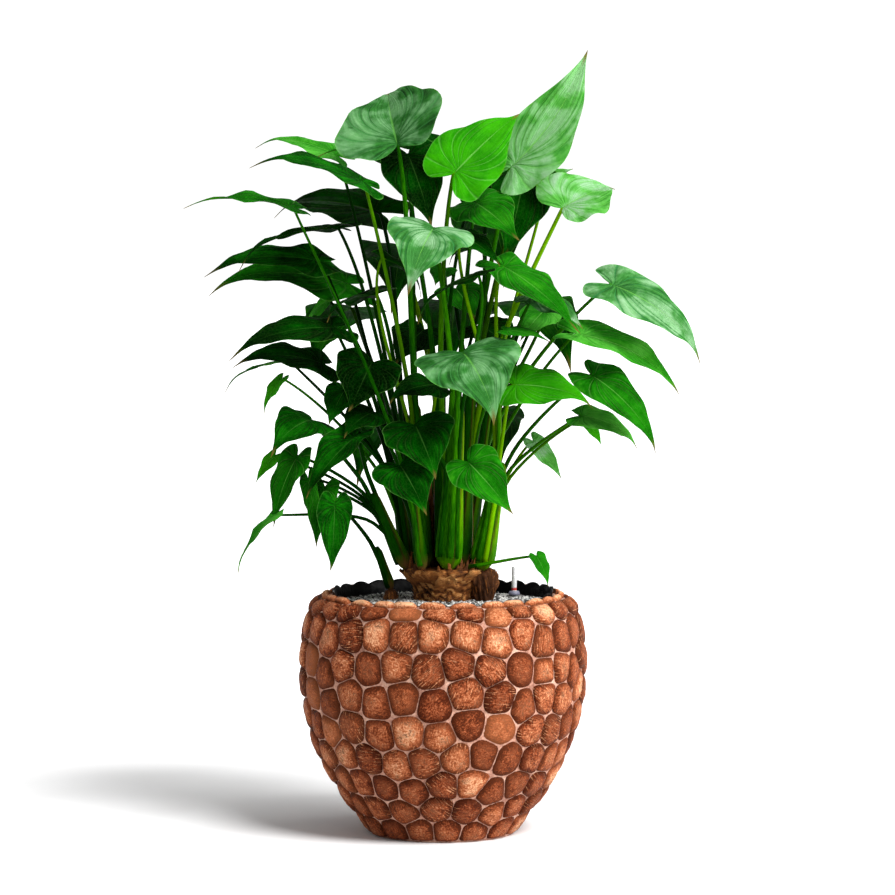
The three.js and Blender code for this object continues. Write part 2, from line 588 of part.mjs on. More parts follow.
// A blade in one closed body: a thin shell on both sides of its middle surface.
function bladeBody(leaf) {
  const { rows: inner, columns } = GRADES.find((grade) => leaf.width >= grade.width);
  const wide = columns.length;
  const middle = [bladePoint(leaf, 0, 0)];
  inner.forEach((t) => columns.forEach((s) => middle.push(bladePoint(leaf, t, s))));
  const end = middle.push(bladePoint(leaf, 1, 0)) - 1;
  const sheet = [];
  const vertex = (row, column) => 1 + row * wide + column;
  for (let column = 0; column + 1 < wide; column += 1) {
    sheet.push([0, vertex(0, column), vertex(0, column + 1)]);
    sheet.push([end, vertex(inner.length - 1, column + 1), vertex(inner.length - 1, column)]);
    for (let row = 0; row + 1 < inner.length; row += 1) {
      const a = vertex(row, column);
      const b = vertex(row, column + 1);
      sheet.push([a, a + wide, b + wide], [a, b + wide, b]);
    }
  }
  const normals = middle.map(() => new THREE.Vector3());
  for (const [a, b, c] of sheet) {
    const normal = middle[b].clone().sub(middle[a]).cross(middle[c].clone().sub(middle[a])).normalize();
    [a, b, c].forEach((index) => normals[index].add(normal));
  }
  const half = BLADE_THICK / 2;
  const under = middle.length;
  const points = [half, -half].flatMap((rise) => middle.map(
    (point, i) => point.clone().addScaledVector(normals[i].normalize(), rise)));
  const faces = sheet.flatMap(([a, b, c]) => [[a, b, c], [a + under, c + under, b + under]]);
  for (const column of [0, wide - 1]) {
    const chain = [0, ...inner.map((_, row) => vertex(row, column)), end];
    for (let i = 0; i + 1 < chain.length; i += 1) {
      const [a, b] = [chain[i], chain[i + 1]];
      const edge = [[a, a + under, b + under], [a, b + under, b]];
      faces.push(...edge.map(([p, q, r]) => (column === 0 ? [p, q, r] : [p, r, q])));
    }
  }
  return solid(points, faces);
}

function leafBody(leaf, sheath) {
  const { path, radii } = stalkPath(leaf, sheath);
  return bladeBody(leaf).add(stem(path, radii, STALK_SIDES));
}

// The stalk from the blade back to the axis of its sheath, which it leaves slanting outwards.
function stalkPath(leaf, sheath) {
  const { frame, width } = leaf;
  const joint = frame.joint;
  const out = sheath.top.clone().sub(sheath.foot).normalize();
  const start = sheath.foot.clone().lerp(sheath.top, leaf.from);
  const reach = joint.distanceTo(start);
  const straight = joint.clone().sub(start).normalize();
  const leave = out.clone().multiplyScalar(STALK_UPRIGHT).addScaledVector(straight, 1 - STALK_UPRIGHT);
  const arrive = straight.clone().multiplyScalar(0.75)
    .addScaledVector(frame.up, 0.45)
    .addScaledVector(frame.along, 0.3)
    .normalize();
  const curve = new THREE.CubicBezierCurve3(
    joint,
    joint.clone().addScaledVector(arrive, -reach * 0.22),
    start.clone().addScaledVector(leave, reach * 0.35),
    start,
  );
  const steps = Math.max(2, Math.round(reach / STALK_STEP));
  const thick = mix(1.9, 3.4, Math.min(1, width / 120));
  const path = curve.getPoints(steps);
  const radii = path.map((_, i) => mix(thick * 0.8, thick * 1.35, i / steps));
  return { path, radii };
}

// A shoot's sheath stands on a flat foot just clear of the rootstock.
function sheathBody({ foot, top, footRadius, topRadius }) {
  const thin = topRadius / footRadius;
  const shares = [0, 0.05, 0.14, 0.5, 1];
  const sizes = [0.72, 0.97, 1, mix(1, thin, 0.55), thin];
  const points = shares.map((share) => foot.clone().lerp(top, share));
  const sunk = points[1].clone().sub(foot).setLength(6);
  points[0].sub(sunk);
  const floor = foot.z < CROWN_Z ? OFFSET_STOCK.top + 0.4 : CROWN_Z;
  return stem(points, sizes.map((size) => size * footRadius), SHEATH_SIDES).trimByPlane([0, 0, 1], floor);
}

function shootBody(name) {
  const [, foot, top, footRadius, topRadius] = SHOOTS.find((shoot) => shoot[0] === name);
  const sheath = { foot: new THREE.Vector3(...foot), top: new THREE.Vector3(...top), footRadius, topRadius };
  const own = leavesOf(name);
  const whole = join([sheathBody(sheath), ...own.map((leaf) => leafBody(leaf, sheath))]);
  return whole.simplify(0.15);
}

function leavesOf(name) {
  const leaves = LEAVES.map(([shoot, joint, tip, width, face, kind, extra = {}], index) => ({
    shoot,
    width,
    seed: index,
    shape: { ...SHAPES[kind], ...extra },
    frame: leafFrame(place(joint), place(tip), new THREE.Vector3(...face)),
  }));
  const own = leaves.filter((leaf) => leaf.shoot === name);
  own.sort((a, b) => a.frame.joint.z - b.frame.joint.z);
  own.forEach((leaf, rank) => {
    leaf.from = mix(SHEATH_OPENS, 0.96, (rank + 0.5) / own.length);
  });
  return own;
}

// The named parts

const FINISHES = {
  tile: { color: 0x7a4528, roughness: 0.75, metalness: 0 },
  liner: { color: 0x15140f, roughness: 0.6, metalness: 0 },
  grit: { color: 0x8d8b88, roughness: 0.95, metalness: 0 },
  bark: { color: 0x5a3a1e, roughness: 0.9, metalness: 0 },
  leaf: { color: 0x1f6b2c, roughness: 0.35, metalness: 0 },
  gauge: { color: 0xdfe3e2, roughness: 0.35, metalness: 0 },
  float: { color: 0xb3261e, roughness: 0.5, metalness: 0 },
  collar: { color: 0x3a3d40, roughness: 0.5, metalness: 0 },
};

function named(name, body, finish) {
  const { vertProperties, triVerts } = body.getMesh();
  const geometry = new THREE.BufferGeometry();
  geometry.setAttribute("position", new THREE.BufferAttribute(new Float32Array(vertProperties), 3));
  geometry.setIndex(new THREE.BufferAttribute(new Uint32Array(triVerts), 1));
  geometry.computeVertexNormals();
  const mesh = new THREE.Mesh(geometry, new THREE.MeshStandardMaterial(FINISHES[finish]));
  mesh.name = name;
  return mesh;
}

const plant = new THREE.Group();
plant.name = "potted_elephant_ear";
plant.add(
  named("planter", potBody(), "tile"),
  named("liner", linerBody(), "liner"),
  named("grit", gritBody(), "grit"),
  named("rootstock", rootstockBody(), "bark"),
  named("offset_rootstock", offsetStockBody(), "bark"),
  named("gauge_tube", gaugeTubeBody(), "gauge"),
  named("gauge_float", gaugeFloatBody(), "float"),
  named("gauge_collar", gaugeCollarBody(), "collar"),
);
for (const [name] of SHOOTS) {
  plant.add(named(name, shootBody(name), "leaf"));
}

export default plant;
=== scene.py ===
"""Dresses a potted hooded dwarf elephant ear: leaves, stalks, rootstock, grit, gauge and tiled planter.

Lengths in the tables are millimetres, as in the part's source; meshes are built in metres.
"""
import logging
import math
from dataclasses import dataclass, field, replace
from enum import Enum

import bpy
import numpy as np
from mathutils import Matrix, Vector


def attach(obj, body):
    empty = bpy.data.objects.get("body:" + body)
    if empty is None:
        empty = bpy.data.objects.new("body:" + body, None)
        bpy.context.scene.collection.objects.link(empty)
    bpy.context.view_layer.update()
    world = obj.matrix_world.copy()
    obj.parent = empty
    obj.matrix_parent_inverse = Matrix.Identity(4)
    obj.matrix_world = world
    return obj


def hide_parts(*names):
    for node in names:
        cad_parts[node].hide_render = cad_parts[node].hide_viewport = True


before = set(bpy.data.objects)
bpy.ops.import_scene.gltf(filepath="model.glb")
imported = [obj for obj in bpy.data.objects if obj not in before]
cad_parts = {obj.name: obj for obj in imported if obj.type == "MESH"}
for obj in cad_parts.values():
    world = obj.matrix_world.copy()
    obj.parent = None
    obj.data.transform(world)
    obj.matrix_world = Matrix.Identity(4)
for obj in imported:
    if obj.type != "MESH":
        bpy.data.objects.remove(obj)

Tree = bpy.types.NodeTree
Socket = bpy.types.NodeSocket
Material = bpy.types.Material
Colour = tuple[float, float, float]
Setting = float | tuple | Socket

log = logging.getLogger("elephant_ear")
MM = 0.001
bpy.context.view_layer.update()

# Planter
POT_PROFILE = np.array([
    (104, 0), (116, 18), (138, 48), (156, 75), (171, 103), (182.5, 130), (190.5, 159), (197, 190),
    (200, 225), (200, 250), (197, 280), (191, 309), (184, 323), (172, 332), (161, 335),
], dtype=float)
POT_INSIDE = [(328, 155), (316, 154.5), (262, 176), (140, 160), (22, 100)]

# Grit and rootstock
GRIT_TOP = 322.0
GRIT_CROWN = 5.0
GRIT_RADIUS = 150.0
GAUGE_PLACE = (101.0, 62.0)
CROWN_Z = 372.0
STOCK_CENTRE = (3.0, 0.0)
STOCK_RINGS = [
    (286, 24), (302, 35), (316, 41), (326, 42), (338, 42), (350, 47), (361, 55), (368, 59), (371.6, 55),
]
RIGHT_STUMP = (56.0, -18.0)
OFFSET_STOCK = (-72.0, 0.0)

# Leaves
VIEW_DISTANCE = 5000.0
VIEW_HEIGHT = 820.0
SHEATH_OPENS = 0.45
STALK_UPRIGHT = 0.6
BLADE_EDGE = np.array([
    (0, 0), (-0.09, 0.16), (-0.16, 0.42), (-0.14, 0.7), (-0.04, 0.92), (0.12, 1),
    (0.3, 0.93), (0.47, 0.74), (0.63, 0.49), (0.78, 0.24), (0.9, 0.08), (1, 0),
])
# Where the main veins end, as shares of the outline from stalk to tip; how near the stalk they
# start on the midrib; and how quickly they leave it.
VEINS = (0.2, 0.36, 0.51, 0.64, 0.76, 0.87)
VEIN_START = 0.34
VEIN_BEND = 0.75
# How far the blade swells between its veins, as a share of its length.
PILLOW = 0.021


# A tone's lightness is partly the leaf's own green and partly painted shade and light: leaves that lie in
# shade get the darkest tones.
class Tone(Enum):
    """How a leaf looks: lightness of its green, share of lime, share of painted sheen."""

    DARK = (0.1, 0.0, 0.0)
    DEEP = (0.27, 0.0, 0.0)
    MID = (0.5, 0.1, 0.0)
    BRIGHT = (0.72, 0.25, 0.1)
    LIME = (0.7, 0.8, 0.0)
    COOL = (0.5, 0.0, 0.5)
    MINT = (0.6, 0.05, 0.85)
    PALE = (0.8, 0.1, 0.75)
    SILVER = (0.9, 0.1, 1.0)


@dataclass(frozen=True)
class Bend:
    """How a blade is bent, as shares of its length; twist is in radians.

    The wave and the finer ripple lift the border, the frill widens and narrows it, and the drip
    turns the tip aside.
    """

    arch: float = 0.05
    fold: float = 0.1
    cup: float = 0.05
    curl: float = 0.04
    sweep: float = 0.0
    twist: float = 0.0
    wave: float = 0.018
    ripple: float = 0.022
    frill: float = 0.045
    drip: float = 0.07


BENDS = {
    "flat": Bend(),
    "arched": Bend(arch=0.13, fold=0.12, cup=0.06, curl=0.08),
    "folded": Bend(arch=0.06, fold=0.42, cup=0.04, curl=0.04),
    "hanging": Bend(arch=0.07, fold=0.2, cup=0.06, curl=0.03),
    "level": Bend(arch=0.08, fold=0.16, cup=0.1, curl=0.1),
    "turned": Bend(arch=0.08, fold=0.2, cup=0.06, curl=0.06, sweep=0.05, twist=0.7),
}

# Each shoot: name, foot, top of its sheath, radius at the foot and at the top.
SHOOTS = [
    ("front_centre", (8, -40, CROWN_Z), (20, -52, 600), 19, 9),
    ("front_right", (54, -30, CROWN_Z), (80, -48, 520), 17, 8),
    ("front_left", (-28, -40, CROWN_Z), (-40, -68, 470), 10, 6),
    ("left_low", (-51, -16, CROWN_Z), (-97, -30, 476), 11, 6),
    ("left_middle", (-46, 10, CROWN_Z), (-70, 12, 520), 11, 6),
    ("left_high", (-22, -10, CROWN_Z), (-38, -22, 600), 11, 6.5),
    ("left_back", (-30, 36, CROWN_Z), (-50, 60, 500), 10, 6),
    ("centre_high", (2, -8, CROWN_Z), (-6, -10, 620), 11, 6.5),
    ("right_of_centre", (27, -14, CROWN_Z), (38, -24, 620), 11, 6.5),
    ("centre_back", (-2, 20, CROWN_Z), (-4, 44, 600), 10, 6.5),
    ("right_high", (34, 12, CROWN_Z), (62, 12, 590), 10, 6.5),
    ("right_back", (26, 38, CROWN_Z), (58, 62, 540), 10, 6),
    ("right_low", (54, 4, CROWN_Z), (80, -4, 510), 9, 5),
    ("back_low", (0, 46, CROWN_Z), (0, 78, 450), 8, 5),
    ("left_offset", (-72, 0, 340), (-92, -14, 400), 8, 5),
    ("right_runner", (32, -37, CROWN_Z + 2.5), (48, -66, 379), 3.5, 2.5),
]

# Each leaf: shoot, joint of stalk and blade, tip, width, direction its upper face looks, bend, tone.
# A joint or tip is across, up and depth, as seen from the front in the plane of the planter's axis.
LEAVES = [
    ("front_centre", (28, 670, -110), (76, 575, -190), 145, (0.05, -0.75, 0.66), "arched", Tone.COOL),
    ("front_centre", (-12, 843, -84), (-48, 756, -174), 115, (0.05, -0.75, 0.65), "arched", Tone.MINT),
    ("front_centre", (45, 878, -20), (105, 827, -110), 85, (-0.2, -0.5, 0.85), "flat", Tone.MID),
    ("front_centre", (50, 777, -82), (-40, 719, -132), 65, (-0.1, 0.2, 0.9), "level", Tone.DARK),
    ("front_centre", (-38, 569, -100), (-8, 495, -160), 100, (0, -0.85, 0.5), "hanging", Tone.DEEP),
    ("front_right", (35, 518, -130), (98, 444, -160), 75, (-0.1, -0.8, 0.6), "hanging", Tone.MID),
    ("front_right", (98, 625, -66), (210, 602, -96), 80, (0, -0.7, 0.7), "level", Tone.LIME),
    ("front_right", (82, 791, -30), (190, 700, -120), 80, (0.2, -0.5, 0.85), "flat", Tone.MID),
    ("front_right", (88, 701, -76), (150, 686, -96), 40, (0, -0.3, 1), "flat", Tone.MID),
    ("front_right", (24, 834, -56), (82, 792, -96), 50, (0, -0.4, 0.9), "flat", Tone.DEEP),
    ("front_left", (-59, 513, -120), (-22, 444, -170), 85, (0, -0.8, 0.6), "hanging", Tone.DEEP),
    ("front_left", (-120, 554, -60), (-192, 468, -100), 62, (-0.3, -0.6, 0.7), "folded", Tone.DEEP),
    ("front_left", (-10, 625, -50), (-76, 604, -90), 70, (0, -0.5, 0.85), "level", Tone.DARK),
    ("front_left", (-96, 587, -36), (-138, 555, -76), 70, (0, -0.5, 0.85), "level", Tone.DARK),
    ("left_low", (-136, 618, -20), (-159, 569, -50), 50, (0, -0.6, 0.7), "hanging", Tone.DEEP),
    ("left_low", (-202, 526, -40), (-236, 426, -60), 55, (-0.5, -0.7, 0.5), "hanging", Tone.MID),
    ("left_low", (-233, 444, -60), (-290, 363, -60), 40, (-0.6, -0.3, 0.7), "turned", Tone.BRIGHT),
    ("left_low", (-164, 483, -50), (-177, 398, -80), 45, (-0.2, -0.9, 0.3), "hanging", Tone.MID),
    ("left_low", (-187, 495, -56), (-161, 409, -66), 30, (-0.6, -0.7, 0.2), "hanging", Tone.MID),
    ("left_low", (-233, 527, -20), (-261, 488, -30), 22, (-0.3, -0.8, 0.4), "hanging", Tone.LIME),
    ("left_low", (-182, 576, -30), (-240, 530, -100), 80, (0, -0.7, 0.7), "arched", Tone.DEEP),
    ("left_middle", (-165, 654, 0), (-290, 660, -60), 80, (0, -0.55, 0.85), "level", Tone.DARK),
    ("left_middle", (-150, 704, -40), (-298, 669, -110), 78, (0, -0.5, 0.85), "level", Tone.DARK),
    ("left_middle", (-212, 658, 10), (-307, 623, -20), 50, (0, 0.1, 1), "level", Tone.MID),
    ("left_middle", (-223, 634, -40), (-250, 586, -50), 32, (-0.7, -0.5, 0.3), "hanging", Tone.LIME),
    ("left_middle", (-129, 765, 88), (-324, 768, -12), 98, (0.05, -0.6, 0.8), "level", Tone.MID),
    ("left_middle", (-168, 796, 16), (-330, 786, -38), 80, (0, -0.5, 0.85), "level", Tone.DEEP),
    ("left_high", (-62, 957, -68), (-76, 1034, 68), 155, (-0.3, -0.8, 0.5), "folded",
     Tone.COOL, {"fold": 0.38}),
    ("left_high", (-108, 904, -104), (-265, 939, -134), 95, (0, -0.3, 1), "level", Tone.DEEP),
    ("front_left", (-207, 871, -70), (-361, 878, -120), 50, (0, -0.4, 0.95), "turned", Tone.MID),
    ("left_high", (-50, 921, 18), (-172, 952, 8), 80, (0, -0.15, 1), "level", Tone.MID),
    ("left_back", (-145, 942, 54), (-259, 964, 84), 70, (0, -0.25, 1), "level", Tone.BRIGHT),
    ("left_back", (-87, 864, 146), (-237, 872, 46), 110, (0.1, 0.5, 0.85), "level", Tone.DARK),
    ("left_back", (-145, 843, 18), (-289, 796, -52), 85, (-0.1, 0.1, 1), "level", Tone.DARK),
    ("left_back", (-158, 743, 60), (-188, 718, 90), 60, (0, -0.6, 0.8), "flat", Tone.LIME),
    ("left_back", (-92, 751, 0), (-164, 720, -64), 84, (0.1, 0.4, 0.9), "level", Tone.DARK),
    ("left_back", (-98, 656, -40), (-129, 587, -70), 95, (0, -0.8, 0.5), "hanging", Tone.DARK),
    ("centre_high", (15, 917, -60), (108, 1003, -10), 108, (-0.2, -0.9, 0.3), "flat", Tone.LIME),
    ("centre_high", (-48, 945, -24), (-14, 843, -54), 88, (0.1, -0.9, 0.3), "hanging", Tone.DARK),
    ("centre_high", (46, 896, 40), (71, 865, 30), 60, (0, -0.7, 0.6), "flat", Tone.DARK),
    ("left_high", (-84, 802, -56), (-26, 750, -76), 50, (0.3, 0.3, 0.8), "arched", Tone.DARK),
    ("centre_high", (52, 826, 20), (6, 796, 0), 50, (0, 0.4, 0.9), "level", Tone.DARK),
    ("right_of_centre", (92, 924, -10), (201, 1092, 30), 101, (-0.25, -0.93, 0.25), "flat",
     Tone.PALE, {"twist": 0.3, "sweep": -0.09}),
    ("right_of_centre", (114, 921, 44), (86, 794, 4), 95, (0.1, -0.95, 0.1), "hanging", Tone.DEEP),
    ("right_of_centre", (125, 748, -26), (196, 706, -96), 60, (0.1, -0.5, 0.85), "flat", Tone.MINT),
    ("right_of_centre", (166, 870, 2), (240, 900, 72), 112, (-0.15, -0.75, 0.65), "folded",
     Tone.SILVER, {"fold": 0.3}),
    ("centre_back", (-43, 951, 60), (10, 969, 90), 80, (0, -0.6, 0.8), "flat", Tone.DARK),
    ("centre_back", (3, 787, 30), (-11, 764, 0), 40, (0, -0.5, 0.8), "flat", Tone.MID),
    ("centre_back", (18, 759, 72), (46, 717, 32), 70, (0, -0.5, 0.8), "flat", Tone.MID),
    ("centre_back", (-26, 702, 42), (-67, 654, -8), 80, (0, -0.5, 0.8), "flat", Tone.DARK),
    ("centre_back", (-56, 817, 166), (-70, 731, 299), 120, (0, 0.7, 0.7), "arched", Tone.DARK),
    ("right_high", (142, 896, 68), (181, 926, 78), 50, (-0.2, -0.5, 0.85), "folded", Tone.SILVER),
    ("right_high", (142, 729, 40), (108, 687, 0), 60, (0, -0.5, 0.8), "flat", Tone.BRIGHT),
    ("right_high", (130, 718, 56), (175, 725, 96), 50, (0, -0.5, 0.8), "flat", Tone.MID),
    ("right_high", (54, 707, 86), (96, 672, 36), 80, (0, -0.5, 0.8), "flat", Tone.DARK),
    ("right_high", (60, 860, 110), (90, 770, 250), 115, (0.1, 0.7, 0.7), "arched", Tone.DEEP),
    ("right_back", (233, 765, -60), (365, 659, -60), 80, (0.25, -0.72, 0.6), "arched", Tone.MINT),
    ("right_back", (185, 696, -70), (334, 614, -50), 64, (0, -0.5, 0.85), "turned",
     Tone.BRIGHT, {"fold": 0.3}),
    ("right_back", (120, 740, 120), (180, 650, 240), 110, (0.2, 0.7, 0.7), "arched", Tone.DEEP),
    ("right_back", (18, 738, 134), (9, 652, 274), 125, (0, 0.7, 0.7), "arched", Tone.DARK),
    ("right_low", (206, 639, -60), (302, 534, -90), 66, (0.25, -0.8, 0.5), "arched", Tone.MID),
    ("right_low", (191, 582, -50), (274, 540, -60), 50, (0.1, -0.6, 0.8), "arched", Tone.BRIGHT),
    ("right_low", (198, 579, -20), (222, 540, -20), 22, (0.1, -0.8, 0.5), "hanging", Tone.LIME),
    ("right_low", (126, 547, 14), (167, 493, 14), 30, (0.1, -0.8, 0.5), "hanging", Tone.SILVER),
    ("back_low", (-80, 580, 120), (-120, 490, 240), 95, (-0.2, 0.7, 0.7), "arched", Tone.DEEP),
    ("back_low", (64, 590, 120), (78, 500, 245), 95, (0.1, 0.7, 0.7), "arched", Tone.DARK),
    ("back_low", (-8, 528, 110), (-18, 448, 230), 90, (0, 0.7, 0.7), "arched", Tone.DARK),
    ("left_back", (-126, 732, 122), (-184, 652, 242), 110, (-0.2, 0.7, 0.7), "arched", Tone.DEEP),
    ("left_offset", (-150, 461, -80), (-155, 363, -90), 48, (0.1, -0.95, 0.2), "hanging", Tone.DEEP),
    ("right_runner", (131, 386, -70), (148, 344, -80), 28, (0.5, -0.7, 0.3), "hanging", Tone.MID),
]


# Small helpers


def draw(number: np.ndarray | float) -> np.ndarray | float:
    """Gives a share from 0 to 1 for a whole number: the fraction of a large multiple of its sine."""
    value = np.sin(np.asarray(number, dtype=float) * 12.9898 + 4.1) * 43758.5453
    return value - np.floor(value)


def unit(vectors: np.ndarray) -> np.ndarray:
    """Scales vectors to length one along their last axis."""
    return vectors / np.maximum(np.linalg.norm(vectors, axis=-1, keepdims=True), 1e-12)


def ease(value: np.ndarray | float, low: float, high: float) -> np.ndarray | float:
    """Rises smoothly from 0 at low to 1 at high."""
    share = np.clip((value - low) / (high - low), 0, 1)
    return share * share * (3 - 2 * share)


def circle(count: int) -> np.ndarray:
    """Evenly spaced angles of a full turn."""
    return np.arange(count) / count * math.tau


def layers(*values: np.ndarray | float) -> np.ndarray:
    """Brings values to one shape and stacks them as a last axis."""
    return np.stack(np.broadcast_arrays(*values), axis=-1)


def smooth_curve(points: np.ndarray, share: np.ndarray) -> np.ndarray:
    """Follows evenly spaced points by a Catmull-Rom cubic.

    Args:
        points: (n, k) control points.
        share: (m,) where to read the curve, 0 at the first point and 1 at the last.

    Returns:
        (m, k) positions.
    """
    last = len(points) - 1
    position = np.clip(share * last, 0, last - 1e-9)
    index = np.floor(position).astype(int)
    t = (position - index)[:, None]
    p0, p1, p2, p3 = (points[np.clip(index + k, 0, last)] for k in (-1, 0, 1, 2))
    return p1 + 0.5 * t * (p2 - p0 + t * (2 * p0 - 5 * p1 + 4 * p2 - p3 + t * (3 * (p1 - p2) + p3 - p0)))


def lumps(points: np.ndarray, size: float, seed: int, octaves: int = 3) -> np.ndarray:
    """Smooth noise about zero: products of sines along seeded directions, each octave half as long.

    Args:
        points: (..., 3) positions in millimetres.
        size: length of the largest lumps in millimetres.
        seed: picks the directions and phases.
        octaves: how many sizes are added.

    Returns:
        One value per point, roughly from -1 to 1.
    """
    random = np.random.default_rng(seed)
    total = np.zeros(points.shape[:-1])
    weight = 0.6
    for _ in range(octaves):
        directions = unit(random.normal(size=(4, 3)))
        waves = np.sin(points @ directions.T * (math.tau / size) + random.uniform(0, math.tau, 4))
        total += weight * (waves[..., 0] * waves[..., 1] + waves[..., 2] * waves[..., 3])
        weight *= 0.5
        size *= 0.47
    return total


def grid_faces(index: np.ndarray, wrap: bool = False) -> np.ndarray:
    """Quads of a grid of point numbers.

    Args:
        index: (rows, columns) point numbers.
        wrap: whether the last column meets the first.

    Returns:
        (n, 4) corner numbers that turn from the rows' direction to the columns' direction.
    """
    if wrap:
        index = np.concatenate([index, index[:, :1]], axis=1)
    corners = (index[:-1, :-1], index[1:, :-1], index[1:, 1:], index[:-1, 1:])
    return np.stack(corners, axis=-1).reshape(-1, 4)


def carried_sides(path: np.ndarray, first_side: np.ndarray) -> tuple[np.ndarray, np.ndarray]:
    """Two directions across a path, carried from point to point without turning about it.

    Args:
        path: (n, 3) points.
        first_side: a direction roughly across the start of the path.

    Returns:
        two (n, 3) arrays of unit vectors, at right angles to the path and to each other.
    """
    before = np.vstack([path[:1], path[:-1]])
    after = np.vstack([path[1:], path[-1:]])
    along = unit(after - before)
    sides = np.empty_like(path)
    side = first_side
    for i, direction in enumerate(along):
        side = unit(side - direction * np.dot(side, direction))
        sides[i] = side
    return sides, np.cross(along, sides)


def round_path(path: np.ndarray, side: np.ndarray, other: np.ndarray, radii: np.ndarray,
               angle: np.ndarray) -> np.ndarray:
    """Rings round a path: side times the angle's cosine plus other times its sine, times a radius.

    Args:
        path: (n, 3) points.
        side: (n, 3) or (1, 3) first direction across the path.
        other: the second direction, as many.
        radii: (n, k) or (n, 1) distances from the path.
        angle: (k,) angles from the first direction.

    Returns:
        (n, k, 3) points.
    """
    turn = angle[None, :, None]
    spokes = np.cos(turn) * side[:, None, :] + np.sin(turn) * other[:, None, :]
    return path[:, None, :] + spokes * radii[..., None]


class Shell:
    """Gathers closed bodies into one mesh, with a material, a chart and a tone for each."""

    def __init__(self) -> None:
        """Starts empty."""
        self.points: list[np.ndarray] = []
        self.quads: list[np.ndarray] = []
        self.triangles: list[np.ndarray] = []
        self.quad_dress: list[np.ndarray] = []
        self.triangle_dress: list[np.ndarray] = []
        self.charts: list[np.ndarray] = []
        self.tones: list[np.ndarray] = []
        self.creases: list[np.ndarray] = []
        self.count = 0

    def add(self, points: np.ndarray, tone: np.ndarray, chart: np.ndarray | None = None,
            crease: np.ndarray | None = None) -> int:
        """Adds points in millimetres.

        Args:
            points: (n, 3) positions.
            tone: (n, 4) or (4,) values that the materials read.
            chart: (n, 2) flat coordinates that the materials read.
            crease: (n,) marks; an edge between two marked points is shaded sharp.

        Returns:
            The number of the first of these points.
        """
        n = len(points)
        self.points.append(points)
        self.charts.append(np.zeros((n, 2)) if chart is None else chart)
        self.tones.append(np.ones((n, 4)) * tone)
        self.creases.append(np.zeros(n, dtype=bool) if crease is None else crease)
        self.count += n
        return self.count - n

    def face(self, quads: np.ndarray, triangles: np.ndarray | None = None, dress: int = 0) -> None:
        """Adds faces by point numbers, all with one material slot.

        Args:
            quads: (n, 4) corner numbers.
            triangles: (m, 3) corner numbers, if there are any.
            dress: the material slot.
        """
        self.quads.append(quads)
        self.quad_dress.append(np.full(len(quads), dress))
        if triangles is not None:
            self.triangles.append(triangles)
            self.triangle_dress.append(np.full(len(triangles), dress))

    def rings(self, grid: np.ndarray, tone: np.ndarray, chart: np.ndarray | None = None,
              dress: int = 0) -> None:
        """Adds rings of points as one closed body, with a pole in the middle of both end rings.

        Args:
            grid: (rings, sides, 3) points, counter-clockwise about the direction from first to last.
            tone: (4,) values, or (rings, sides, 4).
            chart: (rings, sides, 2) flat coordinates.
            dress: material slot.
        """
        rows, sides, _ = grid.shape
        tone = np.ones((rows, sides, 4)) * tone
        if chart is None:
            chart = np.zeros((rows, sides, 2))

        def with_poles(values: np.ndarray) -> np.ndarray:
            """Adds the mean of the first and the last ring after all the rings."""
            ends = [values[0].mean(axis=0), values[-1].mean(axis=0)]
            return np.concatenate([values.reshape(-1, values.shape[-1]), ends])

        first = self.add(with_poles(grid), with_poles(tone), with_poles(chart))
        index = first + np.arange(rows * sides).reshape(rows, sides)
        low, high = first + rows * sides, first + rows * sides + 1
        here, after = index, np.roll(index, -1, axis=1)
        caps = np.concatenate([
            np.stack([after[0], here[0], np.full(sides, low)], axis=1),
            np.stack([here[-1], after[-1], np.full(sides, high)], axis=1),
        ])
        self.face(grid_faces(index, True)[:, ::-1], caps, dress)

    def sheet(self, middle: np.ndarray, rise: np.ndarray, drop: np.ndarray, tone: np.ndarray,
              chart: np.ndarray, poles: np.ndarray | None = None, dress: tuple[int, int] = (0, 0)) -> None:
        """Adds a thin curved sheet with an upper and a lower face that meet at its border.

        Args:
            middle: (rows, columns, 3) middle surface.
            rise: (rows, columns) how far the upper face stands above it.
            drop: (rows, columns) how far the lower face lies below it.
            tone: (4,) values, or (rows, columns, 4).
            chart: (rows, columns, 2) flat coordinates.
            poles: (2, 3) points that close the first and the last row, which else are border.
            dress: material slots of the upper and the lower face.
        """
        rows, columns, _ = middle.shape
        tone = np.ones((rows, columns, 4)) * tone
        normal = unit(np.cross(np.gradient(middle, axis=0), np.gradient(middle, axis=1)))
        inner = np.zeros((rows, columns), dtype=bool)
        inner[slice(None) if poles is not None else slice(1, -1), 1:-1] = True
        upper = np.where(inner[..., None], middle + normal * rise[..., None], middle)
        lower = (middle - normal * drop[..., None])[inner]
        first = self.add(upper.reshape(-1, 3), tone.reshape(-1, 4), chart.reshape(-1, 2), ~inner.ravel())
        above = first + np.arange(rows * columns).reshape(rows, columns)
        under = above.copy()
        start = self.add(lower, tone[inner], chart[inner])
        under[inner] = start + np.arange(len(lower))
        caps = [None, None]
        if poles is not None:
            ends = self.add(poles, tone[[0, -1], columns // 2], chart[[0, -1], columns // 2],
                            np.ones(2, dtype=bool))
            for side, index in enumerate((above, under)):
                low = np.stack([np.full(columns - 1, ends), index[0, :-1], index[0, 1:]], axis=1)
                high = np.stack([index[-1, :-1], np.full(columns - 1, ends + 1), index[-1, 1:]], axis=1)
                caps[side] = np.concatenate([low, high])
            caps[1] = caps[1][:, ::-1]
        self.face(grid_faces(above), caps[0], dress[0])
        self.face(grid_faces(under)[:, ::-1], caps[1], dress[1])

